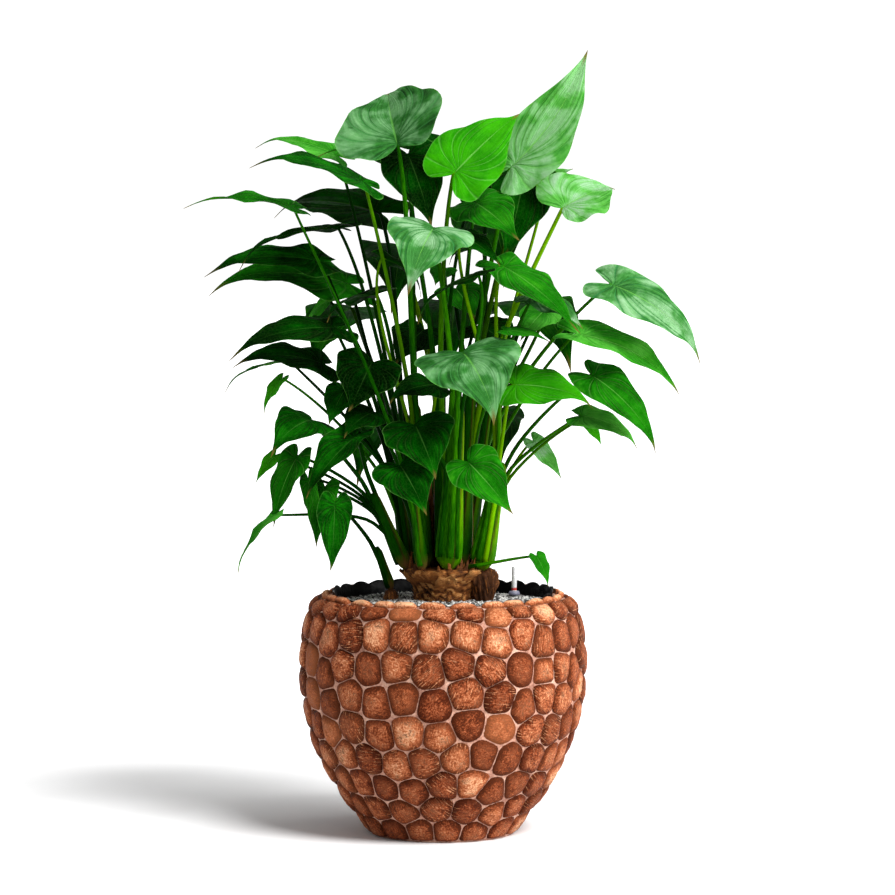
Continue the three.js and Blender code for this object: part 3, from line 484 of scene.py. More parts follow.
    def mesh(self, name: str, smooth: bool) -> bpy.types.Mesh:
        """Makes the mesh of all the bodies, with its chart, tones and creases.

        Args:
            name: the mesh's name.
            smooth: whether faces are shaded smooth.

        Returns:
            The mesh.
        """
        quads = np.concatenate(self.quads)
        triangles = np.concatenate(self.triangles) if self.triangles else np.zeros((0, 3), dtype=int)
        corners = np.concatenate([quads.ravel(), triangles.ravel()])
        sizes = np.concatenate([np.full(len(quads), 4), np.full(len(triangles), 3)])
        mesh = bpy.data.meshes.new(name)
        mesh.vertices.add(self.count)
        mesh.vertices.foreach_set("co", (np.concatenate(self.points) * MM).astype(np.float32).ravel())
        mesh.loops.add(len(corners))
        mesh.loops.foreach_set("vertex_index", corners.astype(np.int32))
        mesh.polygons.add(len(sizes))
        mesh.polygons.foreach_set("loop_start", (np.cumsum(sizes) - sizes).astype(np.int32))
        dress = np.concatenate(self.quad_dress + self.triangle_dress).astype(np.int32)
        mesh.polygons.foreach_set("material_index", dress)
        mesh.polygons.foreach_set("use_smooth", np.full(len(sizes), smooth))
        mesh.update(calc_edges=True)
        chart = mesh.uv_layers.new(name="chart")
        chart.data.foreach_set("uv", np.concatenate(self.charts)[corners].astype(np.float32).ravel())
        tone = mesh.attributes.new("tone", "FLOAT_COLOR", "POINT")
        tone.data.foreach_set("color", np.concatenate(self.tones).astype(np.float32).ravel())
        creases = np.concatenate(self.creases)
        if creases.any():
            ends = np.empty(len(mesh.edges) * 2, dtype=np.int32)
            mesh.edges.foreach_get("vertices", ends)
            sharp = mesh.attributes.new("sharp_edge", "BOOLEAN", "EDGE")
            sharp.data.foreach_set("value", creases[ends.reshape(-1, 2)].all(axis=1))
        return mesh

    def piece(self, name: str, materials: list[Material], node_name: str, slot: str,
              smooth: bool = True) -> None:
        """Makes the object, links it, and lets it ride on the root body and stand for its CAD node.

        Args:
            name: the piece's name.
            materials: one for each material slot used by the faces.
            node_name: the CAD node that it replaces.
            slot: a material slot's name; not used.
            smooth: whether faces are shaded smooth.
        """
        mesh = self.mesh(name, smooth)
        for material in materials:
            mesh.materials.append(material)
        thing = bpy.data.objects.new(name, mesh)
        bpy.context.scene.collection.objects.link(thing)
        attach(thing, "root")
        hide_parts(node_name)
        log.info("%s: %d triangles", name, len(mesh.loops) - 2 * len(mesh.polygons))


def turned(rings: list | np.ndarray, sides: int, centre: tuple[float, float] = (0.0, 0.0)) -> np.ndarray:
    """Rings of a turned body, each (height, radius) pair swept round a vertical axis.

    Args:
        rings: n pairs of height and radius.
        sides: points in each ring.
        centre: x and y of the axis.

    Returns:
        (n, sides, 3) points.
    """
    angle = circle(sides)
    height, radius = np.array(rings, dtype=float).T[:, :, None]
    return layers(centre[0] + radius * np.cos(angle), centre[1] + radius * np.sin(angle), height)


def spread(rings: list[tuple[float, float]], step: float) -> np.ndarray:
    """Adds points between (height, radius) pairs so that they lie no more than a step apart.

    Args:
        rings: the pairs, all of which stay.
        step: the greatest distance in millimetres.

    Returns:
        (n, 2) heights and radii.
    """
    pairs = np.array(rings, dtype=float)
    lengths = np.concatenate([[0], np.cumsum(np.linalg.norm(np.diff(pairs, axis=0), axis=1))])
    wanted = np.linspace(0, lengths[-1], max(2, int(math.ceil(lengths[-1] / step)) + 1))
    wanted = np.union1d(wanted, lengths)
    keep = np.concatenate([[True], np.diff(wanted) > step * 0.2])
    wanted = wanted[keep]
    return np.stack([np.interp(wanted, lengths, pairs[:, k]) for k in (0, 1)], axis=1)


# Materials


def feed(tree: Tree, socket: Socket, value: Setting) -> None:
    """Links a socket to another one, or sets it; a colour gets its alpha.

    Args:
        tree: the tree that holds the socket.
        socket: an input.
        value: a socket, a number or a colour.
    """
    if isinstance(value, Socket):
        tree.links.new(value, socket)
    else:
        socket.default_value = (*value, 1.0) if isinstance(value, tuple) else value


def node(tree: Tree, kind: str, inputs: dict[str | int, Setting] | None = None,
         **settings: object) -> bpy.types.Node:
    """Adds a node; an input given as a socket is linked, any other value is set on it.

    Args:
        tree: the node tree.
        kind: the node's type name.
        inputs: value or source of each named or numbered input.
        settings: properties of the node.

    Returns:
        The node.
    """
    made = tree.nodes.new(kind)
    for name, setting in settings.items():
        setattr(made, name, setting)
    for key, value in (inputs or {}).items():
        feed(tree, made.inputs[key], value)
    return made


def sums(tree: Tree, operation: str, *values: Setting) -> Socket:
    """Adds a Math node of the given operation and values, and returns its result."""
    return node(tree, "ShaderNodeMath", dict(enumerate(values)), operation=operation).outputs[0]


def ranged(tree: Tree, value: Socket, low: float, high: float,
           to_low: float = 0.0, to_high: float = 1.0) -> Socket:
    """Carries a value smoothly from one range to another.

    Args:
        tree: the node tree.
        value: the value.
        low: where the first range starts; what lies below gives to_low.
        high: where it ends; what lies above gives to_high.
        to_low: start of the second range.
        to_high: end of the second range.

    Returns:
        The carried value.
    """
    inputs = {"Value": value, "From Min": low, "From Max": high, "To Min": to_low, "To Max": to_high}
    return node(tree, "ShaderNodeMapRange", inputs, interpolation_type="SMOOTHSTEP").outputs["Result"]


def blended(tree: Tree, share: Setting, first: Setting, second: Setting, how: str = "MIX") -> Socket:
    """Mixes two colours.

    Args:
        tree: the node tree.
        share: share of the second colour.
        first: the colour below.
        second: the colour laid over it.
        how: the way of mixing.

    Returns:
        The mixed colour.
    """
    made = node(tree, "ShaderNodeMix", {0: share, 6: first, 7: second}, data_type="RGBA", blend_type=how)
    return made.outputs[2]


def tinted(tree: Tree, mask: Setting, most: float, first: Setting, second: Setting,
           how: str = "MIX") -> Socket:
    """Mixes a colour in where a mask is 1, up to a greatest share, as blended does."""
    return blended(tree, sums(tree, "MULTIPLY", mask, most), first, second, how)


def varied(tree: Tree, level: Setting, mask: Setting, gain: float, shift: float) -> Socket:
    """Adds a mask times a gain, plus a shift, to a level."""
    return sums(tree, "ADD", level, sums(tree, "MULTIPLY_ADD", mask, gain, shift))


def ramp(tree: Tree, value: Socket, stops: list[tuple[float, Colour]]) -> Socket:
    """Colours a value.

    Args:
        tree: the node tree.
        value: a value from 0 to 1.
        stops: place and colour of each stop, from low to high.

    Returns:
        The colour.
    """
    made = node(tree, "ShaderNodeValToRGB", {"Fac": value})
    elements = made.color_ramp.elements
    while len(elements) < len(stops):
        elements.new(0.5)
    for element, (place, colour) in zip(elements, stops):
        element.position = place
        element.color = (*colour, 1.0)
    return made.outputs["Color"]


class Group:
    """A shader node group that takes places and gives masks or values."""

    def __init__(self, name: str, inputs: dict[str, str], outputs: list[str]) -> None:
        """Makes the group's sockets and its input and output nodes.

        Args:
            name: the group's name.
            inputs: socket type of each input.
            outputs: names of the value outputs.
        """
        self.tree = bpy.data.node_groups.new(name, "ShaderNodeTree")
        for key, kind in inputs.items():
            self.tree.interface.new_socket(name=key, in_out="INPUT", socket_type=kind)
        for key in outputs:
            self.tree.interface.new_socket(name=key, in_out="OUTPUT", socket_type="NodeSocketFloat")
        self.source = self.tree.nodes.new("NodeGroupInput")
        self.sink = self.tree.nodes.new("NodeGroupOutput")

    def take(self, key: str) -> Socket:
        """One of the group's inputs, to use inside it."""
        return self.source.outputs[key]

    def give(self, key: str, value: Socket) -> None:
        """Links a value inside the group to one of its outputs."""
        self.tree.links.new(value, self.sink.inputs[key])

    def use(self, tree: Tree, **inputs: Setting) -> bpy.types.Node:
        """Adds the group to a material's tree.

        Args:
            tree: the material's tree.
            **inputs: value or source of each of the group's inputs.

        Returns:
            The group's node.
        """
        return node(tree, "ShaderNodeGroup", inputs, node_tree=self.tree)


def blade_lines() -> Group:
    """Marks of a leaf blade: main veins that fan out of the stalk, strokes along them, net, edges and tip.

    A vein that ends at an outline share T is met from the midrib at T times VEIN_START, so dividing
    the share along by its start-to-end run gives every point the T of the vein through it.

    Returns:
        The group, which takes the blade's chart and place.
    """
    group = Group("blade_lines", {"Chart": "NodeSocketVector", "Place": "NodeSocketVector"},
                  ["Main", "Swell", "Stroke", "Net", "Margin", "Midrib", "Tip"])
    tree = group.tree
    split = node(tree, "ShaderNodeSeparateXYZ", {"Vector": group.take("Chart")})
    along = split.outputs["X"]
    reach = sums(tree, "ABSOLUTE", sums(tree, "MULTIPLY_ADD", split.outputs["Y"], 2.0, -1.0))
    run = sums(tree, "MULTIPLY_ADD", sums(tree, "POWER", reach, VEIN_BEND), 1.0 - VEIN_START, VEIN_START)
    vein = sums(tree, "DIVIDE", along, run)
    nearest = sums(tree, "ABSOLUTE", sums(tree, "SUBTRACT", vein, VEINS[0]))
    for end in VEINS[1:]:
        nearest = sums(tree, "MINIMUM", nearest, sums(tree, "ABSOLUTE", sums(tree, "SUBTRACT", vein, end)))
    group.give("Main", ranged(tree, nearest, 0.001, 0.014, 1.0, 0.0))
    group.give("Swell", ranged(tree, nearest, 0.0, 0.06))
    cells = node(tree, "ShaderNodeTexVoronoi", {"Vector": group.take("Place"), "Scale": 210.0},
                 feature="DISTANCE_TO_EDGE")
    group.give("Net", ranged(tree, cells.outputs["Distance"], 0.0, 0.12, 1.0, 0.0))
    stroke = node(tree, "ShaderNodeCombineXYZ", {"X": sums(tree, "MULTIPLY", vein, 24.0),
                                                 "Y": sums(tree, "MULTIPLY", along, 3.0),
                                                 "Z": sums(tree, "MULTIPLY", split.outputs["Y"], 6.0)})
    brushed = node(tree, "ShaderNodeTexNoise", {"Vector": stroke.outputs[0], "Scale": 1.0, "Detail": 3.0})
    group.give("Stroke", ranged(tree, brushed.outputs["Fac"], 0.32, 0.68))
    group.give("Margin", ranged(tree, reach, 0.965, 0.998))
    group.give("Midrib", ranged(tree, reach, 0.006, 0.035, 1.0, 0.0))
    group.give("Tip", ranged(tree, along, 0.91, 0.98))
    return group


def mottle() -> Group:
    """Cloudy variation at two sizes, from about 0 to 1.

    Returns:
        The group, which takes a place and how many clouds there are to the metre.
    """
    group = Group("mottle", {"Place": "NodeSocketVector", "Size": "NodeSocketFloat"}, ["Broad", "Small"])
    tree = group.tree
    broad = node(tree, "ShaderNodeTexNoise",
                 {"Vector": group.take("Place"), "Scale": group.take("Size"), "Detail": 3.0})
    scale = sums(tree, "MULTIPLY", group.take("Size"), 7.0)
    small = node(tree, "ShaderNodeTexNoise", {"Vector": group.take("Place"), "Scale": scale, "Detail": 4.0})
    group.give("Broad", ranged(tree, broad.outputs["Fac"], 0.3, 0.7))
    group.give("Small", ranged(tree, small.outputs["Fac"], 0.3, 0.7))
    return group


def streaks() -> Group:
    """Fibres that run along a chart's first direction, and a few deep scratches among them.

    Returns:
        The group, which takes a chart, its scale in both directions and a seed.
    """
    inputs = {"Chart": "NodeSocketVector", "Along": "NodeSocketFloat", "Across": "NodeSocketFloat",
              "Seed": "NodeSocketFloat"}
    group = Group("streaks", inputs, ["Fibre", "Scratch"])
    tree = group.tree
    scale = node(tree, "ShaderNodeCombineXYZ",
                 {"X": group.take("Along"), "Y": group.take("Across"), "Z": 1.0})
    stretched = node(tree, "ShaderNodeVectorMath", {0: group.take("Chart"), 1: scale.outputs[0]},
                     operation="MULTIPLY")
    shift = node(tree, "ShaderNodeCombineXYZ", {"X": 0.0, "Y": 0.0, "Z": group.take("Seed")})
    moved = node(tree, "ShaderNodeVectorMath", {0: stretched.outputs[0], 1: shift.outputs[0]},
                 operation="ADD").outputs[0]
    fibre = node(tree, "ShaderNodeTexNoise", {"Vector": moved, "Scale": 1.0, "Detail": 4.0, "Roughness": 0.6})
    scratch = node(tree, "ShaderNodeTexNoise", {"Vector": moved, "Scale": 0.45, "Detail": 1.0})
    group.give("Fibre", ranged(tree, fibre.outputs["Fac"], 0.3, 0.7))
    group.give("Scratch", ranged(tree, scratch.outputs["Fac"], 0.6, 0.68))
    return group


BLADE_LINES = blade_lines()
MOTTLE = mottle()
STREAKS = streaks()


class Finish:
    """A material being built: its tree, its shader and what its nodes read from the mesh."""

    def __init__(self, name: str) -> None:
        """Makes the material with one Principled shader and no other node.

        Args:
            name: the material's name.
        """
        self.material = bpy.data.materials.new(name)
        self.material.use_nodes = True
        self.tree = self.material.node_tree
        self.tree.nodes.clear()
        self.shader = node(self.tree, "ShaderNodeBsdfPrincipled")
        output = node(self.tree, "ShaderNodeOutputMaterial")
        self.tree.links.new(self.shader.outputs["BSDF"], output.inputs["Surface"])

    def set(self, **inputs: Setting) -> None:
        """Sets or links the shader's inputs; a name's underscores stand for spaces."""
        for key, value in inputs.items():
            feed(self.tree, self.shader.inputs[key.replace("_", " ")], value)

    def chart(self) -> Socket:
        """The mesh's own flat coordinates."""
        return node(self.tree, "ShaderNodeUVMap", uv_map="chart").outputs["UV"]

    def place(self) -> Socket:
        """The place in the object's own metres."""
        return node(self.tree, "ShaderNodeTexCoord").outputs["Object"]

    def tone(self) -> tuple[Socket, ...]:
        """The mesh's four tone values at this place.

        Returns:
            The sockets that give them.
        """
        read = node(self.tree, "ShaderNodeAttribute", attribute_name="tone")
        split = node(self.tree, "ShaderNodeSeparateColor", {"Color": read.outputs["Color"]})
        return (*split.outputs[:3], read.outputs["Alpha"])

    def bump(self, height: Socket, depth: float, strength: float = 0.6) -> None:
        """Raises the surface by a height in shares of a depth in metres."""
        made = node(self.tree, "ShaderNodeBump", {"Height": height, "Distance": depth, "Strength": strength})
        self.set(Normal=made.outputs["Normal"])


@dataclass(frozen=True)
class LeafFace:
    """Colours and painted sheen of one blade face; tone values are lightness, lime share and sheen share.

    The greens run from the darkest level to the lightest. The relief is negative where the veins
    stand out, below, and positive where they are sunk.
    """

    name: str
    greens: tuple[Colour, Colour, Colour, Colour]
    lime: Colour
    painted_sheen: Colour
    vein: Colour
    vein_share: float
    rough: tuple[float, float]
    gloss: float
    relief: float
    brown_tip: Colour = (0.12, 0.09, 0.02)
    dark_vein: Colour = (0.004, 0.1, 0.03)

    def material(self) -> Material:
        """Builds the material from veins, cloudy variation and the leaf's tone, which paints shade, light and
        sheen.

        Returns:
            The material.
        """
        finish = Finish(self.name)
        tree = finish.tree
        light, lime, painted_sheen, _ = finish.tone()
        lines = BLADE_LINES.use(tree, Chart=finish.chart(), Place=finish.place()).outputs
        clouds = MOTTLE.use(tree, Place=finish.place(), Size=24.0)
        broad, small = clouds.outputs["Broad"], clouds.outputs["Small"]
        level = varied(tree, light, broad, 0.3, -0.15)
        # Painted light and shade: the swells between the veins are lighter and the veins darker.
        level = varied(tree, level, lines["Swell"], 0.16, -0.1)
        level = varied(tree, level, lines["Stroke"], 0.17, -0.085)
        green = ramp(tree, level, list(zip((0.0, 0.3, 0.62, 1.0), self.greens)))
        fresh = sums(tree, "MULTIPLY", lime, ranged(tree, broad, 0.2, 0.8, 0.55, 1.0))
        green = blended(tree, fresh, green, self.lime)
        # Painted sheen: a pale reflection mixed into the colour by the tone's third value, fullest on the
        # swells.
        sheen = sums(tree, "MULTIPLY", painted_sheen, ranged(tree, broad, 0.2, 0.8, 0.18, 1.0))
        sheen = sums(tree, "MULTIPLY", sheen, sums(tree, "MULTIPLY_ADD", lines["Swell"], 0.5, 0.5))
        sheen = sums(tree, "MULTIPLY", sheen, ranged(tree, lines["Stroke"], 0.0, 1.0, 0.6, 1.08))
        green = blended(tree, sheen, green, self.painted_sheen)
        green = tinted(tree, small, 0.3, green, (0.45, 0.72, 0.4), "MULTIPLY")
        green = tinted(tree, lines["Net"], 0.035, green, self.vein)
        # Veins are pale on light leaves and dark against the painted sheen of cool ones.
        mark = sums(tree, "MULTIPLY", lines["Main"], self.vein_share)
        mark = sums(tree, "MULTIPLY", mark, ranged(tree, light, 0.2, 0.8, 0.1, 0.8))
        green = blended(tree, mark, green, self.vein)
        inked = sums(tree, "MULTIPLY", painted_sheen, ranged(tree, light, 0.6, 0.85, 0.8, 0.0))
        green = blended(tree, sums(tree, "MULTIPLY", inked, lines["Main"]), green, self.dark_vein)
        mark = sums(tree, "MULTIPLY", lines["Midrib"], ranged(tree, light, 0.1, 0.8, 0.12, 0.72))
        green = blended(tree, mark, green, self.vein)
        green = tinted(tree, lines["Margin"], 0.3, green, self.vein)
        finish.set(Base_Color=blended(tree, lines["Tip"], green, self.brown_tip))
        finish.set(Roughness=ranged(tree, small, 0.0, 1.0, *self.rough))
        finish.set(Specular_IOR_Level=self.gloss, Specular_Tint=(0.15, 1.0, 0.25))
        cut = sums(tree, "ADD", lines["Main"], sums(tree, "MULTIPLY", lines["Net"], 0.25))
        cut = sums(tree, "ADD", cut, lines["Midrib"])
        stroked = sums(tree, "MULTIPLY", lines["Stroke"], 0.9)
        puffed = sums(tree, "ADD", sums(tree, "MULTIPLY", small, 0.3), stroked)
        finish.bump(sums(tree, "SUBTRACT", puffed, cut), 0.0007, self.relief)
        return finish.material


# The sheen colour of each face is a reflection painted into its colour.
UPPER_FACE = LeafFace(
    name="leaf_upper",
    greens=((0.0, 0.005, 0.0), (0.0, 0.034, 0.0), (0.006, 0.13, 0.002), (0.06, 0.33, 0.012)),
    lime=(0.02, 0.23, 0.0), painted_sheen=(0.215, 0.36, 0.215), vein=(0.12, 0.38, 0.06), vein_share=0.45,
    rough=(0.38, 0.54), gloss=0.01, relief=0.65)
UNDER_FACE = LeafFace(
    name="leaf_under",
    greens=((0.0, 0.006, 0.0), (0.0, 0.03, 0.0), (0.01, 0.1, 0.001), (0.05, 0.24, 0.01)),
    lime=(0.05, 0.22, 0.0), painted_sheen=(0.16, 0.38, 0.12), vein=(0.08, 0.26, 0.02), vein_share=0.5,
    rough=(0.5, 0.65), gloss=0.008, relief=-0.7)


def stalk_material() -> Material:
    """Ribbed green stalks, lighter and yellower where the tone paints light, darker where it paints shade,
    brown at the foot.

    Returns:
        The material; tone values are lightness, lime share, brown share and the ribs' seed.
    """
    finish = Finish("stalk")
    tree = finish.tree
    light, lime, brown, chance = finish.tone()
    lines = STREAKS.use(tree, Chart=finish.chart(), Along=3.0, Across=26.0, Seed=chance)
    clouds = MOTTLE.use(tree, Place=finish.place(), Size=35.0)
    level = varied(tree, light, lines.outputs["Fibre"], 0.3, -0.15)
    green = ramp(tree, level, [(0.0, (0.0, 0.008, 0.0)), (0.35, (0.004, 0.055, 0.0)),
                               (0.7, (0.03, 0.17, 0.0)), (1.0, (0.13, 0.38, 0.004))])
    green = blended(tree, lime, green, (0.21, 0.42, 0.0))
    green = tinted(tree, clouds.outputs["Small"], 0.3, green, (0.6, 0.75, 0.5), "MULTIPLY")
    burnt = sums(tree, "MULTIPLY", brown, ranged(tree, clouds.outputs["Broad"], 0.0, 0.8, 0.55, 1.0))
    finish.set(Base_Color=blended(tree, burnt, green, (0.1, 0.045, 0.014)))
    finish.set(Roughness=ranged(tree, lines.outputs["Fibre"], 0.0, 1.0, 0.36, 0.52))
    finish.set(Specular_IOR_Level=0.015, Specular_Tint=(0.45, 1.0, 0.3))
    finish.bump(lines.outputs["Fibre"], 0.0006, 0.4)
    return finish.material


def bark_material() -> Material:
    """Papery brown fibre: painted shade in the hollows, painted light making the raised folds tan.

    Returns:
        The material; tone values are tan and painted light, warmth, darkness and the fibres' seed.
    """
    finish = Finish("papery_bark")
    tree = finish.tree
    tan_and_painted_light, warm, dark, chance = finish.tone()
    lines = STREAKS.use(tree, Chart=finish.chart(), Along=2.0, Across=34.0, Seed=chance)
    clouds = MOTTLE.use(tree, Place=finish.place(), Size=70.0)
    # Painted light and shade: the first tone value lightens the raised folds and leaves the hollows dark.
    level = varied(tree, sums(tree, "MULTIPLY", tan_and_painted_light, 0.75), lines.outputs["Fibre"], 0.5, -0.2)
    level = sums(tree, "SUBTRACT", level, sums(tree, "MULTIPLY", dark, 0.5))
    brown = ramp(tree, level, [(0.0, (0.006, 0.002, 0.001)), (0.25, (0.05, 0.014, 0.004)),
                               (0.5, (0.4, 0.15, 0.035)), (0.85, (0.9, 0.5, 0.18))])
    brown = tinted(tree, clouds.outputs["Small"], 0.4, brown, (0.55, 0.42, 0.3), "MULTIPLY")
    finish.set(Base_Color=tinted(tree, warm, 0.42, brown, (0.42, 0.13, 0.02)))
    finish.set(Roughness=ranged(tree, lines.outputs["Fibre"], 0.0, 1.0, 0.6, 0.9), Specular_IOR_Level=0.2)
    height = sums(tree, "ADD", lines.outputs["Fibre"], sums(tree, "MULTIPLY", clouds.outputs["Small"], 0.5))
    finish.bump(height, 0.0012, 0.8)
    return finish.material


def tile_material() -> Material:
    """Coconut shell: brown tiles with fibres and pale scratches, painted shade at the edges and a painted
    highlight in the middle.

    Returns:
        The material; tone values are lightness, orange share, nearness to the edge, which paints shade, and a
        chance.
    """
    finish = Finish("shell_tile")
    tree = finish.tree
    light, orange, edge, chance = finish.tone()
    grain = sums(tree, "MULTIPLY", chance, 40.0)
    lines = STREAKS.use(tree, Chart=finish.chart(), Along=3.0, Across=38.0, Seed=grain)
    clouds = MOTTLE.use(tree, Place=finish.place(), Size=60.0)
    fibre, scratch = lines.outputs["Fibre"], lines.outputs["Scratch"]
    broad, small = clouds.outputs["Broad"], clouds.outputs["Small"]
    level = varied(tree, light, fibre, 0.42, -0.21)
    level = varied(tree, level, broad, 0.38, -0.19)
    level = varied(tree, level, small, 0.46, -0.22)
    # Painted shade: each tile darkens towards its rolled edge.
    level = sums(tree, "SUBTRACT", level, ranged(tree, edge, 0.5, 1.0, 0.0, 0.32))
    brown = ramp(tree, level, [(0.0, (0.045, 0.007, 0.002)), (0.25, (0.13, 0.025, 0.008)),
                               (0.5, (0.3, 0.073, 0.026)), (0.75, (0.52, 0.19, 0.085)),
                               (1.0, (0.8, 0.46, 0.26))])
    scraped = sums(tree, "MULTIPLY", scratch, ranged(tree, chance, 0.3, 0.7, 0.0, 0.75))
    scraped = sums(tree, "MULTIPLY", scraped, ranged(tree, small, 0.25, 0.65, 0.15, 1.0))
    brown = blended(tree, scraped, brown, (0.72, 0.34, 0.17))
    patches = ranged(tree, small, 0.35, 0.65, 0.05, 0.85)
    burnt = sums(tree, "MULTIPLY", ranged(tree, broad, 0.5, 0.9), patches)
    brown = blended(tree, burnt, brown, (0.07, 0.016, 0.007))
    brown = tinted(tree, orange, 0.3, brown, (0.6, 0.2, 0.075))
    finish.set(Base_Color=brown, Specular_IOR_Level=0.07, Specular_Tint=(1.0, 0.6, 0.42))
    finish.set(Roughness=ranged(tree, small, 0.0, 1.0, 0.5, 0.78))
    height = sums(tree, "ADD", fibre, sums(tree, "MULTIPLY", small, 0.8))
    finish.bump(sums(tree, "SUBTRACT", height, scraped), 0.0007, 0.75)
    return finish.material


def grout_material() -> Material:
    """Gritty pinkish grout, browner in its low spots; the inside of the wall is the same cast body.

    Returns:
        The material.
    """
    finish = Finish("grout")
    tree = finish.tree
    clouds = MOTTLE.use(tree, Place=finish.place(), Size=55.0)
    broad, small = clouds.outputs["Broad"], clouds.outputs["Small"]
    level = sums(tree, "ADD", sums(tree, "MULTIPLY", broad, 0.6), sums(tree, "MULTIPLY", small, 0.4))
    stops = [(0.0, (0.2, 0.075, 0.045)), (0.45, (0.42, 0.205, 0.14)), (1.0, (0.62, 0.38, 0.28))]
    finish.set(Base_Color=ramp(tree, level, stops))
    finish.set(Roughness=ranged(tree, small, 0.0, 1.0, 0.75, 0.95))
    finish.bump(small, 0.0009, 0.8)
    return finish.material


def liner_material() -> Material:
    """Thin black plastic with creases and a dusty sheen.

    Returns:
        The material.
    """
    finish = Finish("liner_film")
    tree = finish.tree
    clouds = MOTTLE.use(tree, Place=finish.place(), Size=40.0)
    broad, small = clouds.outputs["Broad"], clouds.outputs["Small"]
    finish.set(Base_Color=tinted(tree, small, 0.4, (0.0015, 0.0015, 0.0015), (0.005, 0.005, 0.0045)))
    finish.set(Roughness=ranged(tree, broad, 0.0, 1.0, 0.26, 0.45), Specular_IOR_Level=0.05)
    finish.bump(broad, 0.002, 0.5)
    return finish.material


def grit_material() -> Material:
    """Mineral grains: each from near black over grey to white by its tone, with fine pits.

    Returns:
        The material; tone values are lightness and warmth.
    """
    finish = Finish("mineral_grain")
    tree = finish.tree
    light, warm, *_ = finish.tone()
    small = MOTTLE.use(tree, Place=finish.place(), Size=260.0).outputs["Small"]
    level = varied(tree, light, small, 0.2, -0.1)
    grey = ramp(tree, level, [(0.0, (0.012, 0.011, 0.01)), (0.35, (0.07, 0.067, 0.062)),
                              (0.65, (0.3, 0.29, 0.275)), (1.0, (0.8, 0.79, 0.76))])
    finish.set(Base_Color=tinted(tree, warm, 0.35, grey, (0.4, 0.3, 0.2), "MULTIPLY"))
    finish.set(Roughness=ranged(tree, small, 0.0, 1.0, 0.7, 0.95))
    finish.bump(small, 0.0004, 0.7)
    return finish.material


@dataclass(frozen=True)
class Plastic:
    """A moulded plastic with faint flow marks, red where the first tone value is 1."""

    name: str
    colour: Colour
    faded: Colour
    rough: tuple[float, float]
    clear: float = 0.0

    def material(self) -> Material:
        """Builds the material.

        Returns:
            The material.
        """
        finish = Finish(self.name)
        clouds = MOTTLE.use(finish.tree, Place=finish.place(), Size=120.0)
        broad, small = clouds.outputs["Broad"], clouds.outputs["Small"]
        mark = finish.tone()[0]
        colour = blended(finish.tree, broad, self.colour, self.faded)
        finish.set(Base_Color=blended(finish.tree, mark, colour, (0.7, 0.05, 0.04)))
        finish.set(Roughness=ranged(finish.tree, small, 0.0, 1.0, *self.rough))
        finish.set(IOR=1.48, Transmission_Weight=self.clear)
        finish.bump(small, 0.0001, 0.3)
        return finish.material


GAUGE_PLASTIC = Plastic("gauge_plastic", (0.92, 0.92, 0.92), (0.84, 0.85, 0.86), (0.2, 0.35), 0.3)
FLOAT_PLASTIC = Plastic("float_plastic", (0.62, 0.03, 0.03), (0.5, 0.02, 0.02), (0.35, 0.5))
COLLAR_PLASTIC = Plastic("collar_plastic", (0.14, 0.14, 0.2), (0.22, 0.22, 0.3), (0.35, 0.5))


# Leaves


